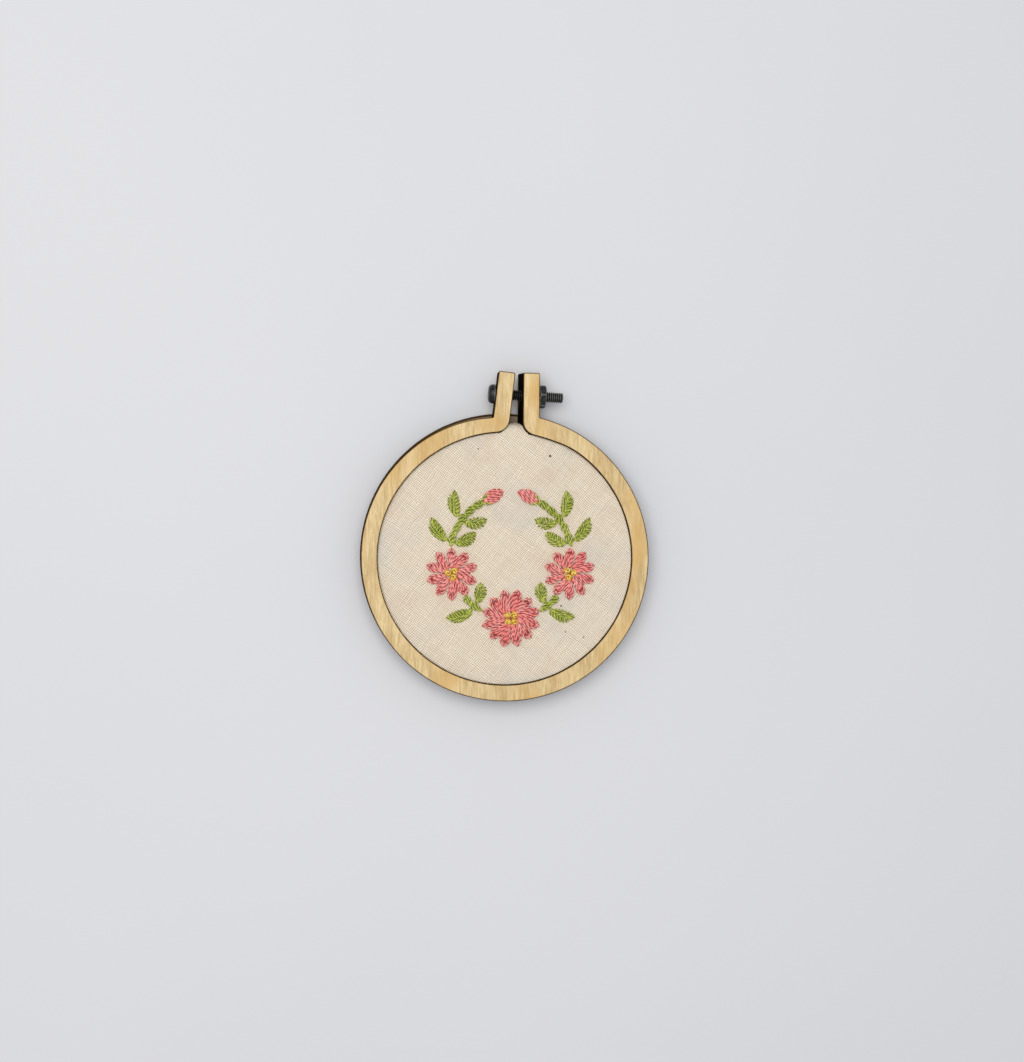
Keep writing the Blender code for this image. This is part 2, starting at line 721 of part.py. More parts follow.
def main():
    clear_scene()
    ply = make_material("ply", PLY_COLOUR, 0.6, 0.0)
    backing_ply = make_material("backing_ply", BACKING_COLOUR, 0.65, 0.0)
    cotton = make_material("cotton", CLOTH_COLOUR, 0.9, 0.0)
    steel = make_material("black_steel", STEEL_COLOUR, 0.4, 0.8)
    pink = make_material("pink_thread", PINK_COLOUR, 0.6, 0.0)
    green = make_material("green_thread", GREEN_COLOUR, 0.6, 0.0)
    yellow = make_material("yellow_thread", YELLOW_COLOUR, 0.6, 0.0)

    make_ring(ply)
    make_disc(
        "backing_plate",
        BACKING_RADIUS,
        0.0,
        BACKING_THICKNESS,
        backing_ply,
        segments=120,
        shift=BACKING_SHIFT,
    )
    plate_radius = OPENING_RADIUS - LEFT_OPENING_PULL - CLOTH_THICKNESS - 2 * PIECE_GAP
    make_disc("inner_plate", plate_radius, RING_BACK, INNER_PLATE_THICKNESS, backing_ply)
    make_cloth(cotton)
    make_screw(steel)
    make_nut(steel)
    make_garland(pink, green, yellow)


main()
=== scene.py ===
import math

import bmesh
import bpy
from mathutils import Matrix, Vector, noise


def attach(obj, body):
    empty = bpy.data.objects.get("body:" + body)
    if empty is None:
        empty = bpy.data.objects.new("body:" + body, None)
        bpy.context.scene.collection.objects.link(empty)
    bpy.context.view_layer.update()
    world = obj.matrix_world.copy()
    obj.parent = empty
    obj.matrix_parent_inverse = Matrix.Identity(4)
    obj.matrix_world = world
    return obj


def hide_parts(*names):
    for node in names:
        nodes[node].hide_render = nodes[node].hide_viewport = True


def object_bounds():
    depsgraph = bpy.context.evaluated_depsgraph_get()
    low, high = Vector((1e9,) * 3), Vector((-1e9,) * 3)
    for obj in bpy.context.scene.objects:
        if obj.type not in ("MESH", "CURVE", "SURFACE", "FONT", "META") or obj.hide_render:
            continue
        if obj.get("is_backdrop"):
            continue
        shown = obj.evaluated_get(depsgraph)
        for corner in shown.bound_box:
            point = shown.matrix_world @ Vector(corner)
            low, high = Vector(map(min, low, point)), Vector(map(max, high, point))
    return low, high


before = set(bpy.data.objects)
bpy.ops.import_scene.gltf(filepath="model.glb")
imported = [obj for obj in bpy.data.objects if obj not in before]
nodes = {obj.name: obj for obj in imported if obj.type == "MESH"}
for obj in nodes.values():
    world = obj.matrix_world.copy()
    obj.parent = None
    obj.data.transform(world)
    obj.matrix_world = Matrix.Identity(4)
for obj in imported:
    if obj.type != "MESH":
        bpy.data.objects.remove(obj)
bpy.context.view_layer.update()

MM = 0.001

# Backing plate.
# A round plate cut by laser from thin ply, glued behind the hoop. Its cut edge
# is burnt dark and shows as a rim round the ring, widened with painted shade;
# its face is painted dark as shade.


def put(tree, kind, inputs=(), **settings):
    """Add a node, with its settings, and fill or wire its inputs."""
    node = tree.nodes.new(kind)
    for key, value in settings.items():
        setattr(node, key, value)
    for key, value in dict(inputs).items():
        if isinstance(value, bpy.types.NodeSocket):
            tree.links.new(value, node.inputs[key])
        else:
            node.inputs[key].default_value = value
    return node


def calc(tree, operation, *values):
    return put(tree, "ShaderNodeMath", dict(enumerate(values)), operation=operation).outputs[0]

def parts_of(tree, vector):
    return put(tree, "ShaderNodeSeparateXYZ", {0: vector}).outputs

def stored(tree, name, output="Fac"):
    return put(tree, "ShaderNodeAttribute", attribute_name=name).outputs[output]

def distance_to(tree, vector, spot):
    gap = put(tree, "ShaderNodeVectorMath", {0: vector, 1: spot}, operation="DISTANCE")
    return gap.outputs["Value"]


def stretch(tree, vector, scale, turn_deg=0.0, shift=(0.0, 0.0, 0.0)):
    turn = (0.0, 0.0, math.radians(turn_deg))
    inputs = {"Vector": vector, "Scale": scale, "Rotation": turn, "Location": shift}
    return put(tree, "ShaderNodeMapping", inputs).outputs[0]


def millimetres(tree):
    """The piece's own Object coordinates, in millimetres."""
    place = put(tree, "ShaderNodeTexCoord").outputs["Object"]
    return stretch(tree, place, (1000.0, 1000.0, 1000.0))

def grains(tree, vector, scale=1.0, detail=2.0, roughness=0.5, distortion=0.0):
    inputs = {"Vector": vector, "Scale": scale, "Detail": detail, "Roughness": roughness}
    inputs["Distortion"] = distortion
    return put(tree, "ShaderNodeTexNoise", inputs).outputs["Fac"]


def fade(tree, value, low, high, low_to=0.0, high_to=1.0):
    inputs = {"Value": value, "From Min": low, "From Max": high}
    inputs.update({"To Min": low_to, "To Max": high_to})
    return put(tree, "ShaderNodeMapRange", inputs, interpolation_type="SMOOTHSTEP").outputs[0]


def blend(tree, share, first, second):
    inputs = {0: share, 6: first, 7: second}
    return put(tree, "ShaderNodeMix", inputs, data_type="RGBA").outputs[2]


def new_group(name, inputs, outputs):
    group = bpy.data.node_groups.new(name, "ShaderNodeTree")
    for label, kind, value in inputs:
        socket = group.interface.new_socket(label, in_out="INPUT", socket_type="NodeSocket" + kind)
        if value is not None:
            socket.default_value = value
    for label, kind in outputs:
        group.interface.new_socket(label, in_out="OUTPUT", socket_type="NodeSocket" + kind)
    entry = group.nodes.new("NodeGroupInput").outputs
    way_out = group.nodes.new("NodeGroupOutput").inputs
    return group, entry, way_out


def place_group(tree, group, inputs):
    return put(tree, "ShaderNodeGroup", inputs, node_tree=group).outputs


def new_material(name, roughness, specular=0.5, metallic=0.0, sheen=0.0):
    material = bpy.data.materials.new(name)
    material.use_nodes = True
    shader = material.node_tree.nodes["Principled BSDF"]
    shader.inputs["Roughness"].default_value = roughness
    shader.inputs["Specular IOR Level"].default_value = specular
    shader.inputs["Metallic"].default_value = metallic
    shader.inputs["Sheen Weight"].default_value = sheen
    return material, material.node_tree, shader


def raise_surface(tree, shader, height, distance, strength=1.0):
    bump = put(tree, "ShaderNodeBump", {"Height": height, "Distance": distance, "Strength": strength})
    tree.links.new(bump.outputs[0], shader.inputs["Normal"])


# Birch face veneer: fine fibres and short pores along the grain, over a slow
# figure. The vector is in millimetres, with the grain along Y.
grain_group, entry, way_out = new_group(
    "birch_grain",
    [("Vector", "Vector", None)],
    [("Tone", "Float"), ("Pores", "Float"), ("Height", "Float")],
)
tree = grain_group
fibre = grains(tree, stretch(tree, entry["Vector"], (2.6, 0.28, 2.6)), 1.0, 4.0, 0.7)
figure_vector = stretch(tree, entry["Vector"], (0.5, 0.055, 0.5), shift=(3.1, 0.7, 0.0))
figure = grains(tree, figure_vector, 1.0, 2.0, 0.5, 0.6)
pore = grains(tree, stretch(tree, entry["Vector"], (4.2, 0.7, 4.2)), 1.0, 1.0)
pore = fade(tree, pore, 0.66, 0.8)
tone = calc(tree, "MULTIPLY_ADD", fibre, 0.62, calc(tree, "MULTIPLY", figure, 0.38))
tree.links.new(fade(tree, tone, 0.33, 0.67), way_out["Tone"])
tree.links.new(pore, way_out["Pores"])
height = calc(tree, "MULTIPLY_ADD", pore, -0.6, fibre)
tree.links.new(height, way_out["Height"])

# Laser-burnt edge: a thin scorched line on the face, and a charred wall with
# fine upright stripes and the glue lines between the plies. The wall is black
# where its mask is 1 and brown where it is 0; the black is real char deepened
# with painted shade.
burnt_group, entry, way_out = new_group(
    "laser_burn",
    [
        ("Colour", "Color", (0.6, 0.45, 0.25, 1.0)),
        ("Edge", "Float", 0.0),
        ("Wall", "Float", 0.0),
        ("Layer", "Float", 0.5),
        ("Char And Shade", "Float", 1.0),
        ("Vector", "Vector", None),
    ],
    [("Colour", "Color"), ("Roughness", "Float")],
)
tree = burnt_group
uneven = grains(tree, stretch(tree, entry["Vector"], (0.7, 0.7, 0.7)), 1.0, 3.0, 0.6)
edge = calc(tree, "MULTIPLY_ADD", calc(tree, "SUBTRACT", uneven, 0.5), 0.55, entry["Edge"])
tint = blend(tree, fade(tree, edge, 0.15, 0.7), entry["Colour"], (0.24, 0.140, 0.045, 1.0))
tint = blend(tree, fade(tree, edge, 0.6, 0.95), tint, (0.06, 0.031, 0.008, 1.0))
stripes = grains(tree, stretch(tree, entry["Vector"], (6.0, 6.0, 0.35)), 1.0, 2.0, 0.6)
pale_char = blend(tree, entry["Char And Shade"], (0.070, 0.043, 0.022, 1.0), (0.005, 0.0035, 0.003, 1.0))
char = blend(tree, fade(tree, stripes, 0.3, 0.72), (0.0015, 0.001, 0.001, 1.0), pale_char)
layer_edge = calc(tree, "PINGPONG", calc(tree, "MULTIPLY", entry["Layer"], 3.0), 0.5)
glue_line = fade(tree, layer_edge, 0.0, 0.09, 1.0, 0.0)
char = blend(tree, glue_line, char, (0.002, 0.0015, 0.0015, 1.0))
middle_ply = calc(tree, "COMPARE", entry["Layer"], 0.5, 0.16)
char = blend(tree, calc(tree, "MULTIPLY", middle_ply, 0.35), char, (0.006, 0.004, 0.003, 1.0))
tree.links.new(blend(tree, entry["Wall"], tint, char), way_out["Colour"])
tree.links.new(calc(tree, "MULTIPLY_ADD", entry["Wall"], 0.12, 0.62), way_out["Roughness"])


def ply_material(name, light, dark, warm, bottom, thickness, turn_deg, shift, marks=()):
    """Ply with its grain at an angle, burnt at its edges and cut walls.

    Each mark is amber and long in Y: its middle (Y times 0.35), reach and strength.
    """
    material, tree, shader = new_material(name, 0.62, specular=0.02)
    in_mm = millimetres(tree)
    along_grain = stretch(tree, in_mm, (1, 1, 1), turn_deg, shift)
    grain = place_group(tree, grain_group, {"Vector": along_grain})
    face = blend(tree, grain["Tone"], dark, light)
    patch = grains(tree, stretch(tree, in_mm, (0.13, 0.07, 0.13), turn_deg, shift), 1.0, 2.0)
    face = blend(tree, fade(tree, patch, 0.5, 0.72, 0.0, 0.7), face, warm)
    flat_place = stretch(tree, in_mm, (1, 0.35, 0))
    for middle, reach, strength in marks:
        mark = distance_to(tree, flat_place, middle)
        mark = fade(tree, mark, 0.1 * reach, reach, strength, 0.0)
        face = blend(tree, mark, face, warm)
    pores = calc(tree, "MULTIPLY", grain["Pores"], 0.5)
    face = blend(tree, pores, face, (0.30, 0.18, 0.08, 1.0))
    parts = parts_of(tree, in_mm)
    layer = calc(tree, "DIVIDE", calc(tree, "SUBTRACT", parts["Z"], bottom), thickness)
    # Painted shade on the cut walls: they go black towards the top, where the ears stand in shade, a
    # little less at the bottom, and stay brown along the sides.
    char_and_shade = fade(tree, calc(tree, "ABSOLUTE", parts["Y"]), 11.0, 19.0)
    char_and_shade = calc(tree, "MULTIPLY", char_and_shade, fade(tree, parts["Y"], -10.0, 10.0, 0.6, 1.0))
    normal = put(tree, "ShaderNodeTexCoord").outputs["Normal"]
    facing = calc(tree, "ABSOLUTE", parts_of(tree, normal)["Z"])
    wall = fade(tree, facing, 0.35, 0.6, 1.0, 0.0)
    burnt = {"Colour": face, "Edge": stored(tree, "burn"), "Wall": wall}
    burnt.update({"Layer": layer, "Char And Shade": char_and_shade, "Vector": in_mm})
    burnt = place_group(tree, burnt_group, burnt)
    tree.links.new(burnt["Colour"], shader.inputs["Base Color"])
    tree.links.new(burnt["Roughness"], shader.inputs["Roughness"])
    raise_surface(tree, shader, grain["Height"], 0.03 * MM, 0.6)
    return material


def linked(name, data):
    """A new object in the scene, made from the data."""
    item = bpy.data.objects.new(name, data)
    bpy.context.scene.collection.objects.link(item)
    return item

def show(name, mesh, material, slot, *cad_nodes):
    """Make a finished piece that stands for one or more of the frame's nodes."""
    item = linked(name, mesh)
    if material is not None:
        mesh.materials.clear()
        mesh.materials.append(material)
    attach(item, "root")
    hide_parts(*cad_nodes)
    return item


def to_mesh(name, body):
    """The body as a mesh; the body is freed."""
    mesh = bpy.data.meshes.new(name)
    body.to_mesh(mesh)
    body.free()
    return mesh

def shade_round(mesh, crease_deg):
    """Smooth shading, apart from creases sharper than this."""
    mesh.shade_smooth()
    mesh.set_sharp_from_angle(angle=math.radians(crease_deg))

EASED_EDGE = 0.06 * MM
BROAD_FACE = 60 * MM * MM

def cut_ply(node_name, name, scorch_widths):
    """The node's flat-faced shape, with eased edges and a scorched border."""
    body = bmesh.new()
    body.from_mesh(nodes[node_name].data)
    bmesh.ops.remove_doubles(body, verts=body.verts, dist=0.002 * MM)
    flat_angle = math.radians(0.4)
    bmesh.ops.dissolve_limit(body, angle_limit=flat_angle, verts=body.verts, edges=body.edges)
    closed = [edge for edge in body.edges if len(edge.link_faces) == 2]
    sharp = [edge for edge in closed if edge.calc_face_angle() > math.radians(50)]
    bmesh.ops.bevel(
        body, geom=sharp, offset=EASED_EDGE, segments=2, affect="EDGES", clamp_overlap=True
    )
    burn = body.verts.layers.float.new("burn")
    for vert in body.verts:
        vert[burn] = 1.0
    level = [face for face in body.faces if abs(face.normal.z) > 0.999]
    faces = [face for face in level if face.calc_area() > BROAD_FACE]
    for share, width in scorch_widths:
        bmesh.ops.inset_region(body, faces=faces, thickness=width, use_even_offset=True)
        for face in faces:
            for vert in face.verts:
                vert[burn] = share
    bmesh.ops.recalc_face_normals(body, faces=body.faces)
    mesh = to_mesh(name, body)
    shade_round(mesh, 25)
    return mesh


# Painted shade: this birch is much darker than the ring's, standing in for the shade the plate lies
# in under the ring, and its scorched border is drawn wide, part real burn and part painted contact
# shade.
backing_birch_painted_shade = ply_material(
    "backing_birch_painted_shade",
    light=(0.33, 0.262, 0.19, 1.0),
    dark=(0.24, 0.185, 0.13, 1.0),
    warm=(0.24, 0.175, 0.11, 1.0),
    bottom=0.0,
    thickness=1.5,
    turn_deg=38.0,
    shift=(14.0, 7.0, 0.0),
)
plate = cut_ply("backing_plate", "backing_disc", [(1.0, 0.3 * MM), (0.0, 0.16 * MM)])
show("backing_disc", plate, backing_birch_painted_shade, "backing_ply", "backing_plate")

# Inner plate.
# A smaller round plate that the cloth is stretched over, pressed into the
# ring. It stays as it is built and is hidden by the cloth.
inner_birch = ply_material(
    "inner_birch",
    light=(0.56, 0.42, 0.23, 1.0),
    dark=(0.44, 0.31, 0.16, 1.0),
    warm=(0.44, 0.29, 0.14, 1.0),
    bottom=1.8,
    thickness=1.4,
    turn_deg=-20.0,
    shift=(2.0, 9.0, 0.0),
)
nodes["inner_plate"].material_slots[0].material = inner_birch

# Outer ring.
# One piece of three-layer birch ply, cut by laser and split at the top into
# two clamp ears, with bare faces and burnt edges.
ring_birch = ply_material(
    "ring_birch",
    light=(0.845, 0.655, 0.358, 1.0),
    dark=(0.545, 0.375, 0.170, 1.0),
    warm=(0.675, 0.425, 0.150, 1.0),
    bottom=1.8,
    thickness=3.2,
    turn_deg=-5.0,
    shift=(0.0, 0.0, 0.0),
    marks=[((2.9, 11.2, 0.0), 1.9, 0.75), ((-16.0, 6.9, 0.0), 6.0, 0.5)],
)
ring = cut_ply("hoop_ring", "split_ring", [(0.75, 0.05 * MM), (0.0, 0.14 * MM)])
show("split_ring", ring, ring_birch, "ply", "hoop_ring")

# Clamp screw.
# A black steel M2 machine screw with a cross-recessed pan head, its thread
# rolled along the whole shank, passed through both ears.
SCREW_MAJOR = 1.0 * MM
THREAD_PITCH = 0.4 * MM
THREAD_DEPTH = 0.22 * MM
HEAD_SEAT = -4.6 * MM
SCREW_END = 8.6 * MM
HEAD_RADIUS = 1.85 * MM
HEAD_HEIGHT = 1.2 * MM
HEAD_FLAT = 1.15 * MM
HEAD_CROWN = 0.9 * MM
HEAD_CHAMFER = 0.08 * MM
SCREW_MIDDLE = (0, 31.18 * MM, 3.4 * MM)
SCREW_SLANT = math.radians(1.9)
screw_place = Matrix.Translation(SCREW_MIDDLE) @ Matrix.Rotation(SCREW_SLANT, 4, "Z")
screw_place = screw_place @ Matrix.Rotation(math.pi / 2, 4, "Y")


def steel_material(name):
    """Black oxide on steel, thin and brownish where rubbed; hollows painted black as shade."""
    material, tree, shader = new_material(name, 0.42, metallic=0.6)
    in_mm = millimetres(tree)
    cloudy = grains(tree, in_mm, 1.3, 4.0, 0.6)
    fine = grains(tree, in_mm, 14.0, 2.0, 0.5)
    thin = fade(tree, cloudy, 0.3, 0.75)
    coat = blend(tree, thin, (0.012, 0.013, 0.013, 1.0), (0.055, 0.056, 0.052, 1.0))
    wear_and_hollow = stored(tree, "wear_and_hollow")
    worn = calc(tree, "MULTIPLY", fade(tree, wear_and_hollow, 0.1, 0.7), fade(tree, fine, 0.3, 0.6, 0.25, 1.0))
    coat = blend(tree, worn, coat, (0.25, 0.245, 0.225, 1.0))
    # Painted shade: hollows, such as the thread roots and the cross recess, go near black.
    coat = blend(tree, fade(tree, wear_and_hollow, -0.6, -0.05, 1.0, 0.0), coat, (0.003, 0.003, 0.003, 1.0))
    # Painted shade: the shank goes near black between the ears, where it is also unworn.
    along = calc(tree, "ABSOLUTE", parts_of(tree, in_mm)["X"])
    coat = blend(tree, fade(tree, along, 1.9, 3.2, 0.85, 0.0), coat, (0.002, 0.002, 0.003, 1.0))
    tree.links.new(coat, shader.inputs["Base Color"])
    tree.links.new(fade(tree, cloudy, 0.25, 0.75, 0.36, 0.52), shader.inputs["Roughness"])
    raise_surface(tree, shader, fine, 0.01 * MM, 0.5)
    return material


def round_ring(body, radius, level, segments, reach=None):
    """A ring of points round the axis, drawn in where the reach says so."""
    ring = []
    for step in range(segments):
        angle = 2 * math.pi * step / segments
        far = radius if reach is None else reach(radius, angle)
        ring.append(body.verts.new((far * math.cos(angle), far * math.sin(angle), level)))
    return ring

def bridge(body, low, high):
    """A band of faces between two closed rings of points."""
    for step in range(len(low)):
        after = (step + 1) % len(low)
        body.faces.new((low[step], low[after], high[after], high[step]))

def lathe(body, profile, segments, reach=None):
    """Turn radius and height pairs round the axis, closed at both ends."""
    rings = [round_ring(body, radius, level, segments, reach) for radius, level in profile]
    for low, high in zip(rings, rings[1:]):
        bridge(body, low, high)
    body.faces.new(rings[0])
    body.faces.new(rings[-1])
    return rings


def screw_thread(body, start, end, columns=36, rows_per_turn=8):
    """A rolled thread from start to end, its rows set on the helix."""
    rows = math.ceil((end - start) / THREAD_PITCH + 2) * rows_per_turn
    grid = []
    for row in range(rows + 1):
        phase = abs(row % rows_per_turn / rows_per_turn - 0.5) * 2
        crest = min(1.0, max(0.0, 1.6 - 1.9 * phase))
        line = []
        for column in range(columns):
            level = start - THREAD_PITCH * (1 - row / rows_per_turn - column / columns)
            level = min(end, max(start, level))
            run_out = min(1.0, (level - start) / (0.5 * MM), (end - level) / (0.1 * MM))
            radius = SCREW_MAJOR - THREAD_DEPTH * (1 - crest * max(0.0, run_out))
            radius = min(radius, SCREW_MAJOR - 0.3 * MM + 2 * (end - level))
            angle = 2 * math.pi * column / columns
            line.append(body.verts.new((radius * math.cos(angle), radius * math.sin(angle), level)))
        grid.append(line)
    for row in range(rows):
        for column in range(columns - 1):
            corners = (grid[row][column], grid[row][column + 1])
            body.faces.new((*corners, grid[row + 1][column + 1], grid[row + 1][column]))
        seam = row + rows_per_turn
        if seam < rows:
            corners = (grid[row][-1], grid[seam][0], grid[seam + 1][0], grid[row + 1][-1])
            body.faces.new(corners)
    bmesh.ops.remove_doubles(body, verts=body.verts, dist=0.001 * MM)
    rims = [edge for edge in body.edges if edge.is_boundary]
    bmesh.ops.holes_fill(body, edges=rims)


def cross_recess(width, length, depth):
    """A tapered cross, deeper than the head's top, to be cut out of it."""
    cutter = bmesh.new()
    top = []
    for level, grow in ((-0.5 * MM, 1.25), (depth, 0.55)):
        half, arm = width / 2 * (0.8 + 0.2 * grow), length / 2 * grow
        outline = [(arm, -half), (arm, half), (half, half)]
        outline += [(half, arm), (-half, arm), (-half, half)]
        outline += [(-x, -y) for x, y in outline]
        top.append([cutter.verts.new((x, y, level)) for x, y in outline])
    bridge(cutter, *top)
    cutter.faces.new(top[0])
    cutter.faces.new(top[1])
    bmesh.ops.recalc_face_normals(cutter, faces=cutter.faces)
    return cutter



def finished_mesh(item, name):
    """The object's mesh with its modifiers applied; the object is removed."""
    graph = bpy.context.evaluated_depsgraph_get()
    mesh = bpy.data.meshes.new_from_object(item.evaluated_get(graph))
    mesh.name = name
    bpy.data.objects.remove(item, do_unlink=True)
    return mesh


def mark_wear_and_hollows(mesh, edge_deg):
    """Store how sharp the edge at each point is, below nought in a hollow."""
    body = bmesh.new()
    body.from_mesh(mesh)
    wear_and_hollow = body.verts.layers.float.new("wear_and_hollow")
    for vert in body.verts:
        angles = [e.calc_face_angle_signed(0.0) for e in vert.link_edges] + [0.0]
        vert[wear_and_hollow] = min(1.0, (max(angles) + min(angles)) / math.radians(edge_deg))
    body.to_mesh(mesh)
    body.free()


head = bmesh.new()
head_top = HEAD_SEAT - HEAD_HEIGHT
profile = [(0.5 * MM, head_top - 0.02 * MM), (HEAD_FLAT, head_top)]
for step in range(1, 9):
    bend = math.pi / 2 * step / 8
    radius = HEAD_FLAT + (HEAD_RADIUS - HEAD_FLAT) * math.sin(bend)
    profile.append((radius, head_top + HEAD_CROWN * (1 - math.cos(bend))))
profile.append((HEAD_RADIUS, HEAD_SEAT - HEAD_CHAMFER))
profile.append((HEAD_RADIUS - HEAD_CHAMFER, HEAD_SEAT))
profile.append((0.8 * MM, HEAD_SEAT))
lathe(head, profile, 64)
bmesh.ops.recalc_face_normals(head, faces=head.faces)
head = linked("screw_head", to_mesh("screw_head", head))
recess = cross_recess(width=0.52 * MM, length=1.75 * MM, depth=0.75 * MM)
bmesh.ops.transform(recess, matrix=Matrix.Translation((0, 0, head_top)), verts=recess.verts)
recess = linked("head_recess", to_mesh("head_recess", recess))
cut = head.modifiers.new("recess", "BOOLEAN")
cut.operation = "DIFFERENCE"
cut.solver = "EXACT"
cut.object = recess
head_mesh = finished_mesh(head, "screw_head")
bpy.data.objects.remove(recess, do_unlink=True)

screw_body = bmesh.new()
screw_thread(screw_body, HEAD_SEAT - 0.1 * MM, SCREW_END)
bmesh.ops.recalc_face_normals(screw_body, faces=screw_body.faces)
screw_body.from_mesh(head_mesh)
bmesh.ops.transform(screw_body, matrix=screw_place, verts=screw_body.verts)
screw_mesh = to_mesh("machine_screw", screw_body)
mark_wear_and_hollows(screw_mesh, 80.0)
shade_round(screw_mesh, 35)
black_oxide = steel_material("black_oxide")
show("machine_screw", screw_mesh, black_oxide, "black_steel", "clamp_screw")

# Clamp nut.
# A black steel M2 hexagon nut, chamfered at its corners, run up the screw
# against the right ear.
NUT_FLATS = 4.0 * MM
NUT_SEAT = 4.04 * MM
NUT_STEPS = 72
NUT_TURN = math.radians(23.0)
# Height, and how far the corners reach past the flats, in millimetres.
NUT_CORNERS = (
    (0.0, 0.0), (0.06, 0.12), (0.12, 0.22), (0.2, 0.33), (0.3, 0.33),
    (0.9, 0.33), (1.0, 0.33), (1.08, 0.22), (1.14, 0.12), (1.2, 0.0),
)
# Radius and height through the bore, in millimetres.
NUT_BORE = (
    (1.9, 0.0), (1.28, 0.0), (1.18, 0.0), (1.03, 0.15),
    (1.03, 1.05), (1.18, 1.2), (1.28, 1.2), (1.9, 1.2),
)
nut_body = bmesh.new()
nut_levels = []
for level, past in NUT_CORNERS:
    nut_levels.append((NUT_FLATS / 2 + past * MM, NUT_SEAT + level * MM))


def hexagon_reach(radius, angle):
    off_flat = (angle + math.pi / 6) % (math.pi / 3) - math.pi / 6
    return min(radius, NUT_FLATS / 2 / math.cos(off_flat))


outer_rings = lathe(nut_body, nut_levels, NUT_STEPS, hexagon_reach)
nut_body.faces.ensure_lookup_table()
bmesh.ops.delete(nut_body, geom=list(nut_body.faces)[-2:], context="FACES_ONLY")
bore_rings = []
for radius, level in NUT_BORE:
    bore_rings.append(round_ring(nut_body, radius * MM, NUT_SEAT + level * MM, NUT_STEPS))
strips = [(outer_rings[0], bore_rings[0]), (bore_rings[-1], outer_rings[-1])]
strips += list(zip(bore_rings, bore_rings[1:]))
for first, second in strips:
    bridge(nut_body, first, second)
bmesh.ops.recalc_face_normals(nut_body, faces=nut_body.faces)
nut_place = screw_place @ Matrix.Rotation(NUT_TURN, 4, "Z")
bmesh.ops.transform(nut_body, matrix=nut_place, verts=nut_body.verts)
nut_mesh = to_mesh("hexagon_nut", nut_body)
mark_wear_and_hollows(nut_mesh, 60.0)
shade_round(nut_mesh, 22)
show("hexagon_nut", nut_mesh, black_oxide, "black_steel", "clamp_nut")

# Cloth.
# One round of cream plain-weave cotton, about 0.3 mm thick, stretched over the
# inner plate, turned down at its edge and gripped by the ring.
CLOTH_FACE = 4.5 * MM
CLOTH_SHEET = 0.3 * MM
CLOTH_ROLL = 0.2 * MM
CLOTH_BOTTOM = 1.85 * MM
CLOTH_CLEARANCE = 0.05 * MM
OPENING_RADIUS = 24.4 * MM
SWELL_TOP = 25.85 * MM


def opening_radius(turn_deg):
    """The ring's inner radius: drawn in on the left, sprung out on the right."""
    if turn_deg < 0:
        near = min(1.0, max(0.0, (100.0 + turn_deg) / 80.0))
        return OPENING_RADIUS - 0.5 * MM * near * near * (3 - 2 * near)
    near = min(1.0, max(0.0, (30.0 - turn_deg) / 18.0))
    spread = 0.1 * MM * math.sin(math.radians(turn_deg))
    return OPENING_RADIUS + spread - 0.4 * MM * near * near * (3 - 2 * near)


def ear_root_reach(x, level):
    """How high the curved root of the ear at either side lets the cloth come."""
    roll = 0.72 * MM * (5.0 * MM - level) / (3.2 * MM)
    middle_x, middle_y = (-4.0 * MM, 26.39 * MM) if x < 0 else (3.742 * MM - roll, 26.5 * MM)
    sideways = (x - middle_x) if x < 0 else (middle_x - x)
    if sideways >= 2.6 * MM:
        return SWELL_TOP
    if sideways <= 0:
        return 0.0
    angle = math.acos(sideways / (2.66 * MM))
    reach = (2.6 + 0.16 * angle / (math.pi / 2)) * MM + CLOTH_CLEARANCE
    return middle_y - math.sqrt(max(0.0, reach**2 - sideways**2))


def cloth_swell(turn_deg, radius, level):
    """How far the turned-down edge swells out into the gap of the split."""
    turn = math.radians(turn_deg)
    if abs(turn_deg) > 12.0:
        return 0.0
    x, y = radius * math.sin(turn), radius * math.cos(turn)
    crown = SWELL_TOP - 0.3 * MM * ((x + 0.15 * MM) / MM) ** 2
    return max(0.0, min(crown, ear_root_reach(x, level)) - y)


def cloth_ripple(x, y):
    """Slackness in the face, puckers at its edge, a droop between the ears."""
    spot = Vector((x, y, 0.0)) / MM
    slack = noise.noise(spot * 0.13 + Vector((4.2, 1.7, 0.0))) * 0.09
    slack += noise.noise(spot * 0.4 + Vector((9.1, 3.3, 0.0))) * 0.03
    reach = spot.length / 24.0
    turn = math.atan2(spot.y, spot.x)
    pucker = noise.noise(Vector((math.cos(turn), math.sin(turn), 0.3)) * 9.0)
    slack += pucker * 0.16 * max(0.0, reach - 0.72) / 0.28
    sunk = math.exp(-((math.degrees(turn) - 62.0) / 16.0) ** 2)
    slack += (0.2 * math.cos(turn - 0.2) - 0.5 * sunk) * max(0.0, reach - 0.84) / 0.16
    slack -= 0.7 * max(0.0, (spot.y - 24.0) / 1.8) ** 2
    return slack * MM


turns = [-12 + 0.25 * step for step in range(96)] + [12 + 1.5 * step for step in range(224)]
turns = [turn if turn <= 180 else turn - 360 for turn in turns]
outside = []
inside = []
for step in range(1, 41):
    outside.append(("face", step / 40, CLOTH_FACE, max(0.0, step - 34) / 6))
for step in range(1, 9):
    bend = math.pi / 2 * step / 8
    level = CLOTH_FACE - CLOTH_ROLL * (1 - math.cos(bend))
    outside.append(("edge", CLOTH_ROLL * (1 - math.sin(bend)), level, 1.0))
for step in range(1, 5):
    level = CLOTH_FACE - CLOTH_ROLL - (CLOTH_FACE - CLOTH_ROLL - CLOTH_BOTTOM) * step / 4
    outside.append(("edge", 0.0, level, 1.0))
for kind, inset, level, swell in outside[::-1]:
    if kind == "edge":
        inside.append((kind, inset + CLOTH_SHEET * (1 - inset / CLOTH_ROLL), level, swell))
for step in range(40, 0, -1):
    inside.append(("face", step / 40, CLOTH_FACE, max(0.0, step - 34) / 6))
cloth_body = bmesh.new()
cloth_rings = []
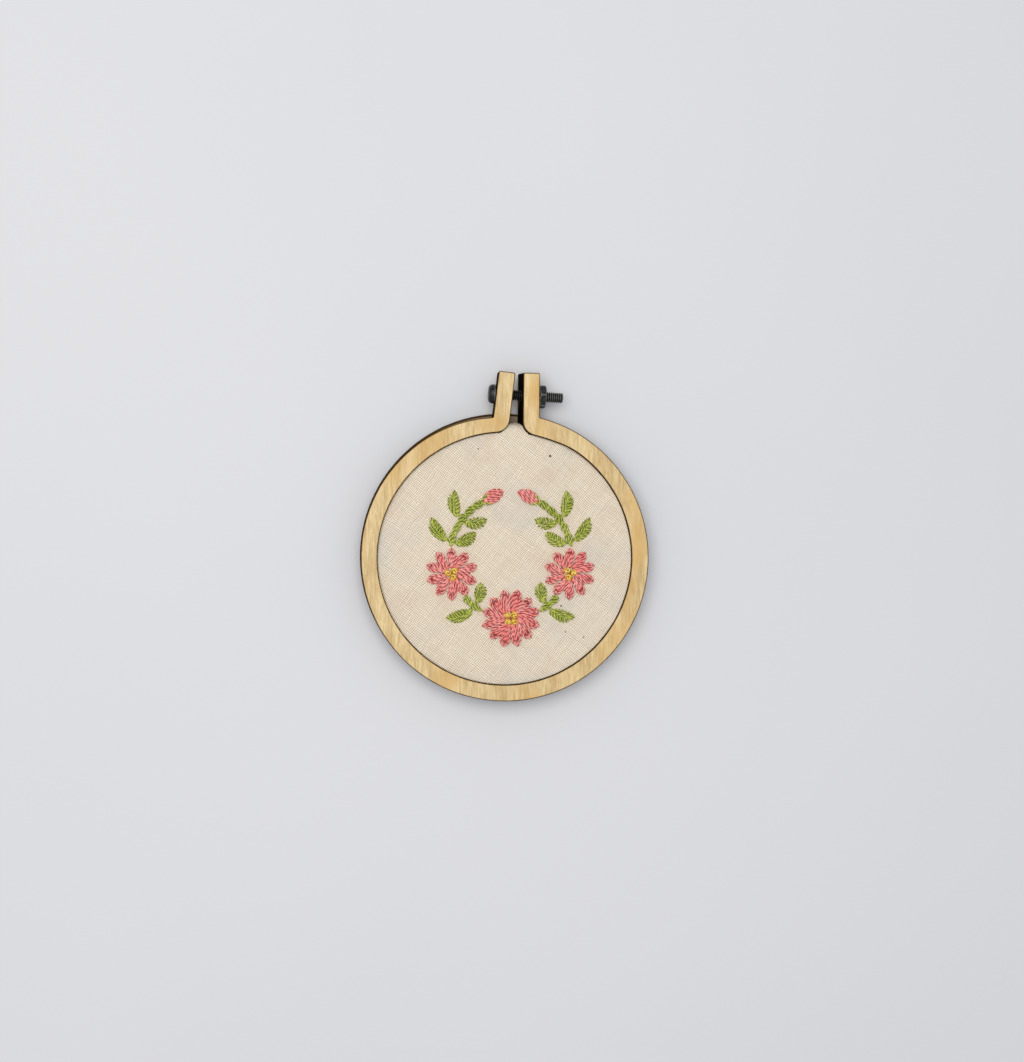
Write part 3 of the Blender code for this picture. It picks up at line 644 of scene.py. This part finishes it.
for side, rings in (("outside", outside), ("inside", inside)):
    for kind, value, level, swell in rings:
        ring_verts = []
        for turn_deg in turns:
            edge = opening_radius(turn_deg) - CLOTH_CLEARANCE
            rolled = edge - CLOTH_ROLL
            radius = rolled * value if kind == "face" else edge - value
            radius += cloth_swell(turn_deg, edge, level) * swell
            turn = math.radians(turn_deg)
            x, y = radius * math.sin(turn), radius * math.cos(turn)
            lift = cloth_ripple(x, y) * (1.0 if level > CLOTH_FACE - CLOTH_ROLL else 0.0)
            drop = 0.0
            if side == "inside" and level > CLOTH_FACE - CLOTH_ROLL:
                drop = CLOTH_SHEET
            ring_verts.append(cloth_body.verts.new((x, y, level + lift - drop)))
        cloth_rings.append(ring_verts)
count = len(turns)
for low, high in zip(cloth_rings, cloth_rings[1:]):
    bridge(cloth_body, low, high)
rims = ((cloth_rings[0], CLOTH_FACE), (cloth_rings[-1], CLOTH_FACE - CLOTH_SHEET))
for ring_verts, level in rims:
    pole = cloth_body.verts.new((0, 0, level + cloth_ripple(0.0, 0.0)))
    for step in range(count):
        cloth_body.faces.new((ring_verts[step], ring_verts[(step + 1) % count], pole))
bmesh.ops.recalc_face_normals(cloth_body, faces=cloth_body.faces)
cloth_mesh = to_mesh("cotton_round", cloth_body)
cloth_mesh.shade_smooth()

# Plain weave: each yarn bows over one and under the next. Yarns vary in width
# and shade, and pinholes stay dark between four of them. Vector in millimetres.
weave_group, entry, way_out = new_group(
    "plain_weave",
    [("Vector", "Vector", None), ("Pitch", "Float", 0.36)],
    [("Height", "Float"), ("Holes", "Float"), ("Yarn", "Float")],
)
tree = weave_group
wander = grains(tree, entry["Vector"], 0.35, 2.0)
parts = parts_of(tree, entry["Vector"])
yarn_tones = []
waves = []
for own, other, row in (("X", "Y", 3.7), ("Y", "X", 8.9)):
    strip = {"X": parts[own], "Y": calc(tree, "MULTIPLY", parts[other], 0.05), "Z": row}
    strip = put(tree, "ShaderNodeCombineXYZ", strip).outputs[0]
    slub = grains(tree, strip, 1.6, 2.0, 0.6)
    yarn_tones.append(grains(tree, strip, 2.1, 1.0, 0.5))
    shifted = calc(tree, "MULTIPLY_ADD", slub, 0.26, parts[own])
    shifted = calc(tree, "MULTIPLY_ADD", wander, 0.8, shifted)
    phase = calc(tree, "MULTIPLY", calc(tree, "DIVIDE", shifted, entry["Pitch"]), math.pi)
    waves.append(calc(tree, "SINE", phase))
over = fade(tree, calc(tree, "MULTIPLY", *waves), -0.06, 0.06)
bows = [calc(tree, "ABSOLUTE", wave) for wave in waves]
warp = calc(tree, "MULTIPLY", bows[0], calc(tree, "MULTIPLY_ADD", bows[1], 0.5, 0.5))
weft = calc(tree, "MULTIPLY", bows[1], calc(tree, "MULTIPLY_ADD", bows[0], 0.5, 0.5))
under = calc(tree, "SUBTRACT", 1.0, over)
weft = calc(tree, "MULTIPLY", under, weft)
height = calc(tree, "ADD", calc(tree, "MULTIPLY", over, warp), weft)
tree.links.new(height, way_out["Height"])
holes = calc(tree, "MAXIMUM", *bows)
tree.links.new(fade(tree, holes, 0.2, 0.6, 1.0, 0.0), way_out["Holes"])
weft_tone = calc(tree, "MULTIPLY", under, yarn_tones[1])
yarn = calc(tree, "ADD", calc(tree, "MULTIPLY", over, yarn_tones[0]), weft_tone)
tree.links.new(yarn, way_out["Yarn"])

cotton, tree, shader = new_material("cream_cotton", 0.88, specular=0.25, sheen=0.15)
in_mm = millimetres(tree)
WEAVE_TURN_DEG = 33.0
YARN_PITCH_MM = 0.36
on_yarns = stretch(tree, in_mm, (1, 1, 1), WEAVE_TURN_DEG)
weave = place_group(tree, weave_group, {"Vector": on_yarns, "Pitch": YARN_PITCH_MM})
pale = fade(tree, weave["Yarn"], 0.35, 0.65)
shade = blend(tree, pale, (0.900, 0.780, 0.600, 1.0), (0.990, 0.880, 0.700, 1.0))
cool = grains(tree, in_mm, 0.11, 2.0, 0.5)
shade = blend(tree, fade(tree, cool, 0.5, 0.75, 0.0, 0.45), shade, (0.730, 0.725, 0.680, 1.0))
warm = grains(tree, stretch(tree, in_mm, (1, 1, 1), 0.0, (31.0, 12.0, 0.0)), 0.16, 2.0, 0.5)
shade = blend(tree, fade(tree, warm, 0.52, 0.75, 0.0, 0.5), shade, (0.870, 0.690, 0.510, 1.0))
# Painted shade: the weave's low yarns are darkened in the colour, and the pinholes more so.
low = fade(tree, weave["Height"], 0.0, 0.85)
shade = blend(tree, low, (0.55, 0.45, 0.335, 1.0), shade)
shade = blend(tree, calc(tree, "MULTIPLY", weave["Holes"], 0.85), shade, (0.25, 0.19, 0.13, 1.0))
# Bits of seed husk caught in the yarn: place and half-width in millimetres.
HUSKS = (
    (7.0, 20.1, 0.28), (-6.9, 20.2, 0.16), (11.6, -8.4, 0.2),
    (12.9, -13.3, 0.16), (16.5, -14.0, 0.14),
)
for x, y, size in HUSKS:
    gap = distance_to(tree, stretch(tree, in_mm, (1, 1, 0)), (x, y, 0))
    husk = fade(tree, gap, size * 0.6, size * 1.3, 0.9, 0.0)
    shade = blend(tree, husk, shade, (0.10, 0.055, 0.03, 1.0))
# Painted shade: the cloth between the ears, where it turns down, is greyed in patches.
ear_gap_shade = fade(tree, parts_of(tree, in_mm)["Y"], 24.5, 26.2, 0.0, 0.75)
ear_gap_shade = calc(tree, "MULTIPLY", ear_gap_shade, fade(tree, grains(tree, in_mm, 3.0, 2.0), 0.3, 0.6, 0.55, 1.0))
shade = blend(tree, ear_gap_shade, shade, (0.26, 0.25, 0.22, 1.0))
tree.links.new(shade, shader.inputs["Base Color"])
raise_surface(tree, shader, weave["Height"], 0.07 * MM, 0.8)
cotton_round = show("cotton_round", cloth_mesh, cotton, "cotton", "cloth")

# Blossoms.
# Stranded cotton thread, stitched through the cloth: each petal is two looped
# stitches side by side, filled with straight ones and tacked at their tips.
GARLAND_TURN = math.radians(5.0)
GARLAND_MIDDLE = Vector((1.1 * MM, 0.2 * MM))
WREATH_RADIUS = 11.8


def on_cloth(spot, height):
    """A place in the garland, in millimetres, moved onto the cloth."""
    x = spot[0] * math.cos(GARLAND_TURN) - spot[1] * math.sin(GARLAND_TURN)
    y = spot[0] * math.sin(GARLAND_TURN) + spot[1] * math.cos(GARLAND_TURN)
    x, y = GARLAND_MIDDLE.x + x * MM, GARLAND_MIDDLE.y + y * MM
    return (x, y, CLOTH_FACE + cloth_ripple(x, y) + height * MM)


# How far along a straight stitch, and its height there for a rise of 1.
STITCH_RISE = (
    (0, -0.9), (0.03, 0.0), (0.12, 0.7), (0.3, 1.0), (0.5, 1.06),
    (0.7, 1.0), (0.88, 0.7), (0.97, 0.0), (1, -0.9),
)

def straight_stitch(start, end, rise=0.3, bow=0.0):
    """A stitch that comes up through the cloth, lies on it and goes down."""
    start, end = Vector(start), Vector(end)
    across = Vector((start.y - end.y, end.x - start.x)).normalized()
    points = []
    for share, lift in STITCH_RISE:
        spot = start.lerp(end, share) + across * bow * math.sin(math.pi * share)
        points.append(on_cloth(spot, rise * lift))
    return points


def loop_stitch(start, tip, width, rise=0.3, plump=1.3):
    """A detached chain: up one side, round the tip and back to its start."""
    start, tip = Vector(start), Vector(tip)
    along = tip - start
    across = Vector((-along.y, along.x)).normalized()
    points = []
    steps = 20
    for step in range(steps + 1):
        turn = 2 * math.pi * step / steps
        share = (1 - math.cos(turn)) / 2
        side = math.sin(turn) * math.sin(turn / 2) ** plump * (0.5 + 0.13 * plump)
        lift = rise * min(1.0, 6 * share) if 0 < step < steps else -0.25
        points.append(on_cloth(start + along * share + across * side * width, lift))
    return points


def store(tree, geometry, name, value, domain, data_type="FLOAT"):
    inputs = {"Geometry": geometry, "Name": name, "Value": value}
    kind = "GeometryNodeStoreNamedAttribute"
    return put(tree, kind, inputs, data_type=data_type, domain=domain).outputs[0]

def thread_tree(name):
    """Turn lines into twisted thread of several strands, one tube a line."""
    tree = bpy.data.node_groups.new(name, "GeometryNodeTree")
    sockets = {}
    tree.interface.new_socket("Geometry", in_out="INPUT", socket_type="NodeSocketGeometry")
    for label, kind, value in (
        ("Thread Radius", "Float", 0.25 * MM),
        ("Strands", "Int", 2),
        ("Twist Length", "Float", 1.9 * MM),
        ("Step", "Float", 0.2 * MM),
        ("Unevenness", "Float", 0.12),
        ("Seed", "Int", 1),
        ("Thread", "Material", None),
    ):
        socket = tree.interface.new_socket(label, in_out="INPUT", socket_type="NodeSocket" + kind)
        if value is not None:
            socket.default_value = value
        sockets[label] = socket.identifier
    tree.interface.new_socket("Geometry", in_out="OUTPUT", socket_type="NodeSocketGeometry")
    entry = tree.nodes.new("NodeGroupInput").outputs
    way_out = tree.nodes.new("NodeGroupOutput").inputs

    smooth = {"Curve": entry["Geometry"]}
    smooth = put(tree, "GeometryNodeCurveSplineType", smooth, spline_type="CATMULL_ROM")
    even = {"Curve": smooth.outputs[0], "Length": entry["Step"]}
    even = put(tree, "GeometryNodeResampleCurve", even, mode="LENGTH")
    number = tree.nodes.new("GeometryNodeInputIndex").outputs[0]
    tone = {"ID": number, "Seed": entry["Seed"]}
    tone = put(tree, "FunctionNodeRandomValue", tone, data_type="FLOAT").outputs[1]
    toned = store(tree, even.outputs[0], "tone", tone, "CURVE")
    length = tree.nodes.new("GeometryNodeSplineParameter").outputs["Length"]
    along = store(tree, toned, "along", length, "POINT")
    own_tone = put(tree, "GeometryNodeInputNamedAttribute", {"Name": "tone"}, data_type="FLOAT")
    own_tone = own_tone.outputs[0]
    turns = calc(tree, "ADD", calc(tree, "DIVIDE", length, entry["Twist Length"]), own_tone)
    tilt = calc(tree, "MULTIPLY", turns, 2 * math.pi)
    twisted = put(tree, "GeometryNodeSetCurveTilt", {"Curve": along, "Tilt": tilt})
    place = tree.nodes.new("GeometryNodeInputPosition").outputs[0]
    lumps = grains(tree, place, 900.0, 1.0)
    swell = calc(tree, "MULTIPLY", calc(tree, "SUBTRACT", lumps, 0.5), entry["Unevenness"])
    plumper = calc(tree, "SUBTRACT", own_tone, 0.5)
    spread = calc(tree, "MULTIPLY", entry["Unevenness"], 0.8)
    swell = calc(tree, "MULTIPLY_ADD", plumper, spread, swell)
    radius = calc(tree, "MULTIPLY_ADD", swell, 2.0, 1.0)

    circle = {"Resolution": 18, "Radius": 1.0}
    circle = put(tree, "GeometryNodeCurvePrimitiveCircle", circle, mode="RADIUS").outputs[0]
    share = tree.nodes.new("GeometryNodeSplineParameter").outputs["Factor"]
    lobes = calc(tree, "MULTIPLY", calc(tree, "MULTIPLY", share, entry["Strands"]), math.pi)
    crest = calc(tree, "POWER", calc(tree, "ABSOLUTE", calc(tree, "SINE", lobes)), 0.8)
    profile = store(tree, circle, "crest", crest, "POINT")
    ring_place = tree.nodes.new("GeometryNodeInputPosition").outputs[0]
    ring = store(tree, profile, "section", ring_place, "POINT", "FLOAT_VECTOR")
    reach = calc(tree, "MULTIPLY_ADD", crest, 0.4, 0.64)
    moved = {0: ring_place, "Scale": calc(tree, "MULTIPLY", reach, entry["Thread Radius"])}
    moved = put(tree, "ShaderNodeVectorMath", moved, operation="SCALE").outputs[0]
    section = put(tree, "GeometryNodeSetPosition", {"Geometry": ring, "Position": moved})

    tube = {"Curve": twisted.outputs[0], "Profile Curve": section.outputs[0]}
    tube.update({"Scale": radius, "Fill Caps": True})
    tube = put(tree, "GeometryNodeCurveToMesh", tube)
    soft = put(tree, "GeometryNodeSetShadeSmooth", {"Geometry": tube.outputs[0]})
    real = put(tree, "GeometryNodeRealizeInstances", {"Geometry": soft.outputs[0]})
    done = {"Geometry": real.outputs[0], "Material": entry["Thread"]}
    done = put(tree, "GeometryNodeSetMaterial", done)
    tree.links.new(done.outputs[0], way_out["Geometry"])
    return tree, sockets


stitch_tree, stitch_sockets = thread_tree("stranded_thread")


def sew(name, lines, thread, slot, cad_nodes, seed, radius, step=0.2 * MM):
    """Lay thread along the lines and show it in place of the frame's nodes."""
    curve = bpy.data.curves.new(name, "CURVE")
    curve.dimensions = "3D"
    for line in lines:
        spline = curve.splines.new("POLY")
        spline.points.add(len(line) - 1)
        for point, spot in zip(spline.points, line):
            point.co = (*spot, 1.0)
    item = linked(name, curve)
    work = item.modifiers.new("thread", "NODES")
    work.node_group = stitch_tree
    settings = {"Thread": thread, "Seed": seed, "Thread Radius": radius, "Step": step}
    for label, value in settings.items():
        work[stitch_sockets[label]] = value
    mesh = finished_mesh(item, name)
    bpy.data.curves.remove(curve)
    show(name, mesh, None, slot, *cad_nodes)


# Stranded thread: strands run round the tube, with fine fibres along each and
# shade in the grooves between them.
thread_group, entry, way_out = new_group(
    "stranded_cotton",
    [
        ("Light", "Color", (0.8, 0.8, 0.8, 1.0)),
        ("Middle", "Color", (0.5, 0.5, 0.5, 1.0)),
        ("Dark", "Color", (0.1, 0.1, 0.1, 1.0)),
    ],
    [("Colour", "Color"), ("Height", "Float")],
)
tree = thread_group
crest = stored(tree, "crest")
length = calc(tree, "MULTIPLY", stored(tree, "along"), 1400.0)
length = put(tree, "ShaderNodeCombineXYZ", {"Z": length}).outputs[0]
spot = {0: stored(tree, "section", "Vector"), 1: (6.0, 6.0, 6.0)}
spot = put(tree, "ShaderNodeVectorMath", spot, operation="MULTIPLY").outputs[0]
spot = put(tree, "ShaderNodeVectorMath", {0: spot, 1: length}, operation="ADD").outputs[0]
fibres = grains(tree, spot, 1.0, 3.0, 0.6)
body_shade = blend(tree, fade(tree, fibres, 0.36, 0.6), entry["Middle"], entry["Light"])
tone_share = fade(tree, stored(tree, "tone"), 0.0, 1.0, 0.0, 0.5)
body_shade = blend(tree, tone_share, body_shade, entry["Middle"])
groove = fade(tree, crest, 0.12, 0.95, 1.0, 0.0)
tree.links.new(blend(tree, groove, body_shade, entry["Dark"]), way_out["Colour"])
lift = calc(tree, "MULTIPLY_ADD", fibres, 0.5, crest)
tree.links.new(lift, way_out["Height"])


def thread_material(name, light, middle, dark):
    material, tree, shader = new_material(name, 0.46, specular=0.42, sheen=0.08)
    inputs = {"Light": light, "Middle": middle, "Dark": dark}
    strands = place_group(tree, thread_group, inputs)
    tree.links.new(strands["Colour"], shader.inputs["Base Color"])
    raise_surface(tree, shader, strands["Height"], 0.035 * MM, 0.7)
    return material


rose = thread_material(
    "rose_thread",
    light=(1.0, 0.60, 0.54, 1.0),
    middle=(0.96, 0.122, 0.104, 1.0),
    dark=(0.16, 0.003, 0.003, 1.0),
)
# Painted shade: this dark thread is laid under the petals, in their tip eyes and round the knots, so
# the gaps between stitches read dark.
deep_rose = thread_material(
    "deep_rose_thread",
    light=(0.60, 0.11, 0.09, 1.0),
    middle=(0.38, 0.035, 0.030, 1.0),
    dark=(0.12, 0.006, 0.004, 1.0),
)


def petal_lines(middle, reach, petals, turn_deg):
    """Two filled loops for each petal, and darker padding under them as painted shade."""
    middle = Vector(middle)
    top, under = [], []
    half_span = math.pi / petals

    def spot(radius, angle):
        return middle + Vector((math.cos(angle), math.sin(angle))) * radius

    for petal in range(petals):
        centre = math.radians(turn_deg) + 2 * half_span * petal
        between = centre + half_span
        top.append(straight_stitch(spot(1.2, between), spot(0.7 * reach, between), 0.15))
        for way in (-1, 1):
            stray = 0.03 * math.sin(2.3 * petal + 1.7 * way + turn_deg)
            foot = centre + way * 0.42 * half_span
            point = centre + way * (0.49 + stray) * half_span
            tip_reach = reach * (0.915 + 0.6 * stray)
            foot_spot, tip_spot = spot(1.15, foot), spot(tip_reach, point)
            along = tip_spot - foot_spot
            across = Vector((-along.y, along.x)).normalized()
            top.append(loop_stitch(foot_spot, tip_spot, 0.27 * reach, 0.34, 2.2))
            for offset in (-0.3, 0.0, 0.3):
                fill_tip = foot_spot + along * (0.84 - 0.2 * abs(offset) + stray) + across * offset
                fill_foot = foot_spot + along * 0.03 + across * offset * 0.5
                rise = 0.28 + 0.1 * (offset == 0)
                top.append(straight_stitch(fill_foot, fill_tip, rise, -offset * 0.25))
            top.append(straight_stitch(foot_spot + along * 0.94, foot_spot + along * 1.07, 0.5))
            under.append(straight_stitch(foot_spot + along * 0.74, foot_spot + along * 0.96, 0.12))
            for offset in (-0.45, 0.45):
                low = foot_spot + along * 0.1 + across * offset * 0.5
                under.append(straight_stitch(low, foot_spot + along * 0.85 + across * offset, 0.05))
    # Painted shade: a dark star of padding under the knots.
    for step in range(3):
        angle = math.radians(turn_deg + 30.0 + 60.0 * step)
        under.append(straight_stitch(spot(1.25, angle), spot(1.25, angle + math.pi), 0.14))
    return top, under


# Name, angle on the wreath, side, reach, number of petals and turn.
BLOSSOMS = (
    ("middle", -90.0, 0, 5.6, 6, -90.0),
    ("left", -16.0, -1, 5.0, 5, 108.0),
    ("right", -16.0, 1, 5.0, 5, 72.0),
)


def on_wreath(angle_deg, side, radius=WREATH_RADIUS):
    angle = math.radians(angle_deg)
    return Vector((side * radius * math.cos(angle), radius * math.sin(angle)))


for number, (where, at_deg, side, reach, petals, turn_deg) in enumerate(BLOSSOMS):
    top, under = petal_lines(on_wreath(at_deg, side), reach, petals, turn_deg)
    sew("petals_" + where, top, rose, "pink_thread", ["blossom_" + where], number + 3, 0.25 * MM)
    sew("petal_shade_padding_" + where, under, deep_rose, "pink_thread", [], number + 9, 0.24 * MM)

# Knots.
# French knots of yellow thread, wound round the needle and pulled down
# into the middle of each blossom.
amber = thread_material(
    "amber_thread",
    light=(1.0, 0.84, 0.22, 1.0),
    middle=(0.97, 0.53, 0.020, 1.0),
    dark=(0.20, 0.050, 0.001, 1.0),
)


def knot_line(centre, turn_deg):
    """Nearly two and a half turns that rise and close in, then a dive."""
    centre = Vector(centre)
    points = []
    for step in range(21):
        share = step / 20
        angle = math.radians(turn_deg) + 2 * math.pi * 2.4 * share
        radius = 0.46 - 0.16 * share
        spot = centre + Vector((math.cos(angle), math.sin(angle))) * radius
        points.append(on_cloth(spot, 0.3 + 0.62 * share + 0.08 * math.sin(angle)))
    points.append(on_cloth(centre, 0.85))
    points.append(on_cloth(centre, 0.1))
    return points


for number, (where, at_deg, side, reach, petals, turn_deg) in enumerate(BLOSSOMS):
    knots = []
    count = 4 if where == "middle" else 3
    for step in range(count):
        angle = math.radians(turn_deg + 360.0 * (step + 0.5) / count)
        spread = 0.9 if count == 4 else 0.76
        spot = on_wreath(at_deg, side) + Vector((math.cos(angle), math.sin(angle))) * spread
        knots.append(knot_line(spot, 77.0 * step + 30.0 * number))
    sew("french_knots_" + where, knots, amber, "yellow_thread",
        ["knots_" + where], number + 21, 0.25 * MM, 0.16 * MM)

# Stems.
# Green thread in chain stitch along the wreath: each link is a loop held down
# by the next one, with a plain stitch up its middle.
moss = thread_material(
    "moss_thread",
    light=(0.79, 0.83, 0.16, 1.0),
    middle=(0.245, 0.310, 0.005, 1.0),
    dark=(0.010, 0.018, 0.0004, 1.0),
)


def chain_lines(side, from_deg, to_deg):
    span = math.radians(to_deg - from_deg)
    links = max(1, round(span * WREATH_RADIUS / 2.0))
    lines = []
    for link in range(links):
        low = from_deg + (to_deg - from_deg) * link / links
        high = from_deg + (to_deg - from_deg) * (link + 1.22) / links
        shift = 0.08 * math.sin(4.1 * link + 2 * side)
        start = on_wreath(low, side, WREATH_RADIUS + shift)
        tip = on_wreath(min(high, to_deg + 1.0), side, WREATH_RADIUS - shift)
        lines.append(loop_stitch(start, tip, 1.05, 0.34))
        lines.append(straight_stitch(start, tip, 0.24))
    return lines


def bud_calyx(side):
    """Two short green stitches that hold the foot of a bud."""
    foot = on_wreath(60.5, side)
    lines = []
    for way in (-1, 1):
        tip = on_wreath(70.5, side, WREATH_RADIUS + way * 1.0)
        lines.append(straight_stitch(foot, tip, 0.46, -0.12 * way * side))
    return lines


for number, (where, side) in enumerate((("left", -1), ("right", 1))):
    lines = chain_lines(side, -61.0, -42.0) + chain_lines(side, 10.0, 60.0) + bud_calyx(side)
    names = ["stem_lower_" + where, "stem_upper_" + where]
    sew("stem_stitches_" + where, lines, moss, "green_thread", names, number + 31, 0.24 * MM)

# Leaves.
# Green thread in fishbone stitch: slanting stitches from both edges that cross
# on the midrib, closing the leaf up to its tip.
# Angle on the wreath, side of the stem, length and spread of each leaf.
LEAVES = (
    (-54, 1, 4.8, 50), (-54, -1, 3.6, 62), (14, 1, 5.0, 46),
    (13, -1, 4.2, 46), (37, 1, 4.8, 42), (36, -1, 4.0, 42),
)
LEAF_HALF_WIDTH = 1.1


def leaf_lines(side, at_deg, leaf_side, length, spread_deg):
    root = on_wreath(at_deg, side)
    outward = root.normalized() * leaf_side
    angle = math.radians(at_deg)
    tangent = Vector((-side * math.sin(angle), math.cos(angle)))
    spread = math.radians(spread_deg)
    direction = tangent * math.cos(spread) + outward * math.sin(spread)
    across = Vector((-direction.y, direction.x))
    start = root + outward * 1.15

    def midrib(share):
        return start + (direction * share + outward * 0.12 * math.sin(math.pi * share)) * length

    pairs = round(length / 0.62)
    lines = [straight_stitch(root + outward * 0.35, midrib(0.3), 0.2)]
    for step in range(pairs):
        share = (step + 0.3) / pairs
        width = LEAF_HALF_WIDTH * math.sin(math.pi * min(1.0, share * 0.9 + 0.1)) ** 0.8
        for way in (-1, 1):
            outer = midrib(share) + across * way * width
            inner = midrib(max(0.0, share - 0.3)) - across * way * 0.14
            lines.append(straight_stitch(inner, outer, 0.3 if way > 0 else 0.26))
    lines.append(straight_stitch(midrib(0.62), midrib(1.0), 0.34))
    return lines


for number, (where, side) in enumerate((("left", -1), ("right", 1))):
    lines = []
    for leaf in LEAVES:
        lines += leaf_lines(side, *leaf)
    names = [f"leaf_{where}_{count}" for count in range(1, len(LEAVES) + 1)]
    sew("leaf_stitches_" + where, lines, moss, "green_thread", names, number + 41, 0.21 * MM)

# Buds.
# Rose thread at the two tips of the wreath: a few straight stitches side by
# side, gathered at the foot.
for number, (where, side) in enumerate((("left", -1), ("right", 1))):
    foot = on_wreath(62.5, side)
    angle = math.radians(62.5)
    tangent = Vector((-side * math.sin(angle), math.cos(angle)))
    across = Vector((-tangent.y, tangent.x))
    lines = []
    for offset in (-0.9, -0.55, -0.2, 0.2, 0.55, 0.9):
        tip = foot + tangent * (4.5 - 1.5 * offset * offset) + across * offset * 1.0
        start = foot + across * offset * 0.3 + tangent * 0.2
        lines.append(straight_stitch(start, tip, 0.36, offset * 0.45))
    lines.append(straight_stitch(foot + tangent * 0.8, foot + tangent * 4.2, 0.6))
    names = ["bud_" + where]
    sew("bud_stitches_" + where, lines, rose, "pink_thread", names, number + 51, 0.26 * MM)

# Table, light and camera.
# A sheet of matt pale card under the hoop, one broad soft light from the upper
# left, and a camera almost straight above.
card, tree, shader = new_material("pale_card", 0.9, specular=0.2)
place = put(tree, "ShaderNodeTexCoord").outputs["Object"]
clouds = fade(tree, grains(tree, place, 9.0, 2.0, 0.5), 0.35, 0.65)
tint = blend(tree, clouds, (0.710, 0.714, 0.728, 1.0), (0.724, 0.724, 0.733, 1.0))
tree.links.new(tint, shader.inputs["Base Color"])
raise_surface(tree, shader, grains(tree, place, 2500.0, 2.0), 0.02 * MM, 0.3)
floor_body = bmesh.new()
lowered = Matrix.Translation((0, 0, -0.02 * MM))
bmesh.ops.create_grid(floor_body, x_segments=8, y_segments=8, size=1.5, matrix=lowered)
floor = linked("card", to_mesh("card", floor_body))
floor.data.materials.append(card)
floor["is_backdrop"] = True

scene = bpy.context.scene
scene.view_settings.view_transform = "Standard"
world = bpy.data.worlds.new("studio")
world.use_nodes = True
world.node_tree.nodes["Background"].inputs["Color"].default_value = (0.92, 0.94, 1.0, 1.0)
world.node_tree.nodes["Background"].inputs["Strength"].default_value = 0.55
scene.world = world


def soft_light(name, place, size, power, colour, aim=(0, 0, 0)):
    lamp = bpy.data.lights.new(name, "AREA")
    lamp.shape = "DISK"
    lamp.size = size
    lamp.energy = power
    lamp.color = colour
    item = linked(name, lamp)
    item.location = place
    item.rotation_euler = (Vector(aim) - Vector(place)).to_track_quat("-Z", "Y").to_euler()


soft_light("window", (-0.1, 0.08, 0.5), 0.5, 1.7, (1.0, 0.985, 0.96))

PHOTO_TURN = math.radians(5.0)
CAMERA_DISTANCE = 0.35
FRAME_HEIGHT = 0.2030


def from_photo(x, y, z):
    """A direction seen in the picture, turned into the hoop's own axes."""
    turned_x = x * math.cos(PHOTO_TURN) - y * math.sin(PHOTO_TURN)
    turned_y = x * math.sin(PHOTO_TURN) + y * math.cos(PHOTO_TURN)
    return Vector((turned_x, turned_y, z))


aim = from_photo(1.3 * MM, 5.0 * MM, 5.0 * MM)
away = from_photo(-math.tan(math.radians(6.5)), -math.tan(math.radians(0.5)), 1.0).normalized()
right = from_photo(0, 1, 0).cross(away).normalized()
upward = away.cross(right)
lens = bpy.data.cameras.new("camera")
lens.sensor_width = 36.0
lens.lens = 36.0 * CAMERA_DISTANCE / FRAME_HEIGHT
lens.clip_start = 0.01
lens.clip_end = 10.0
camera = linked("camera", lens)
axes = Matrix((right, upward, away)).transposed().to_4x4()
camera.matrix_world = Matrix.Translation(aim + away * CAMERA_DISTANCE) @ axes
scene.camera = camera

# The box of this dressed hoop, in metres.
low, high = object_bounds()
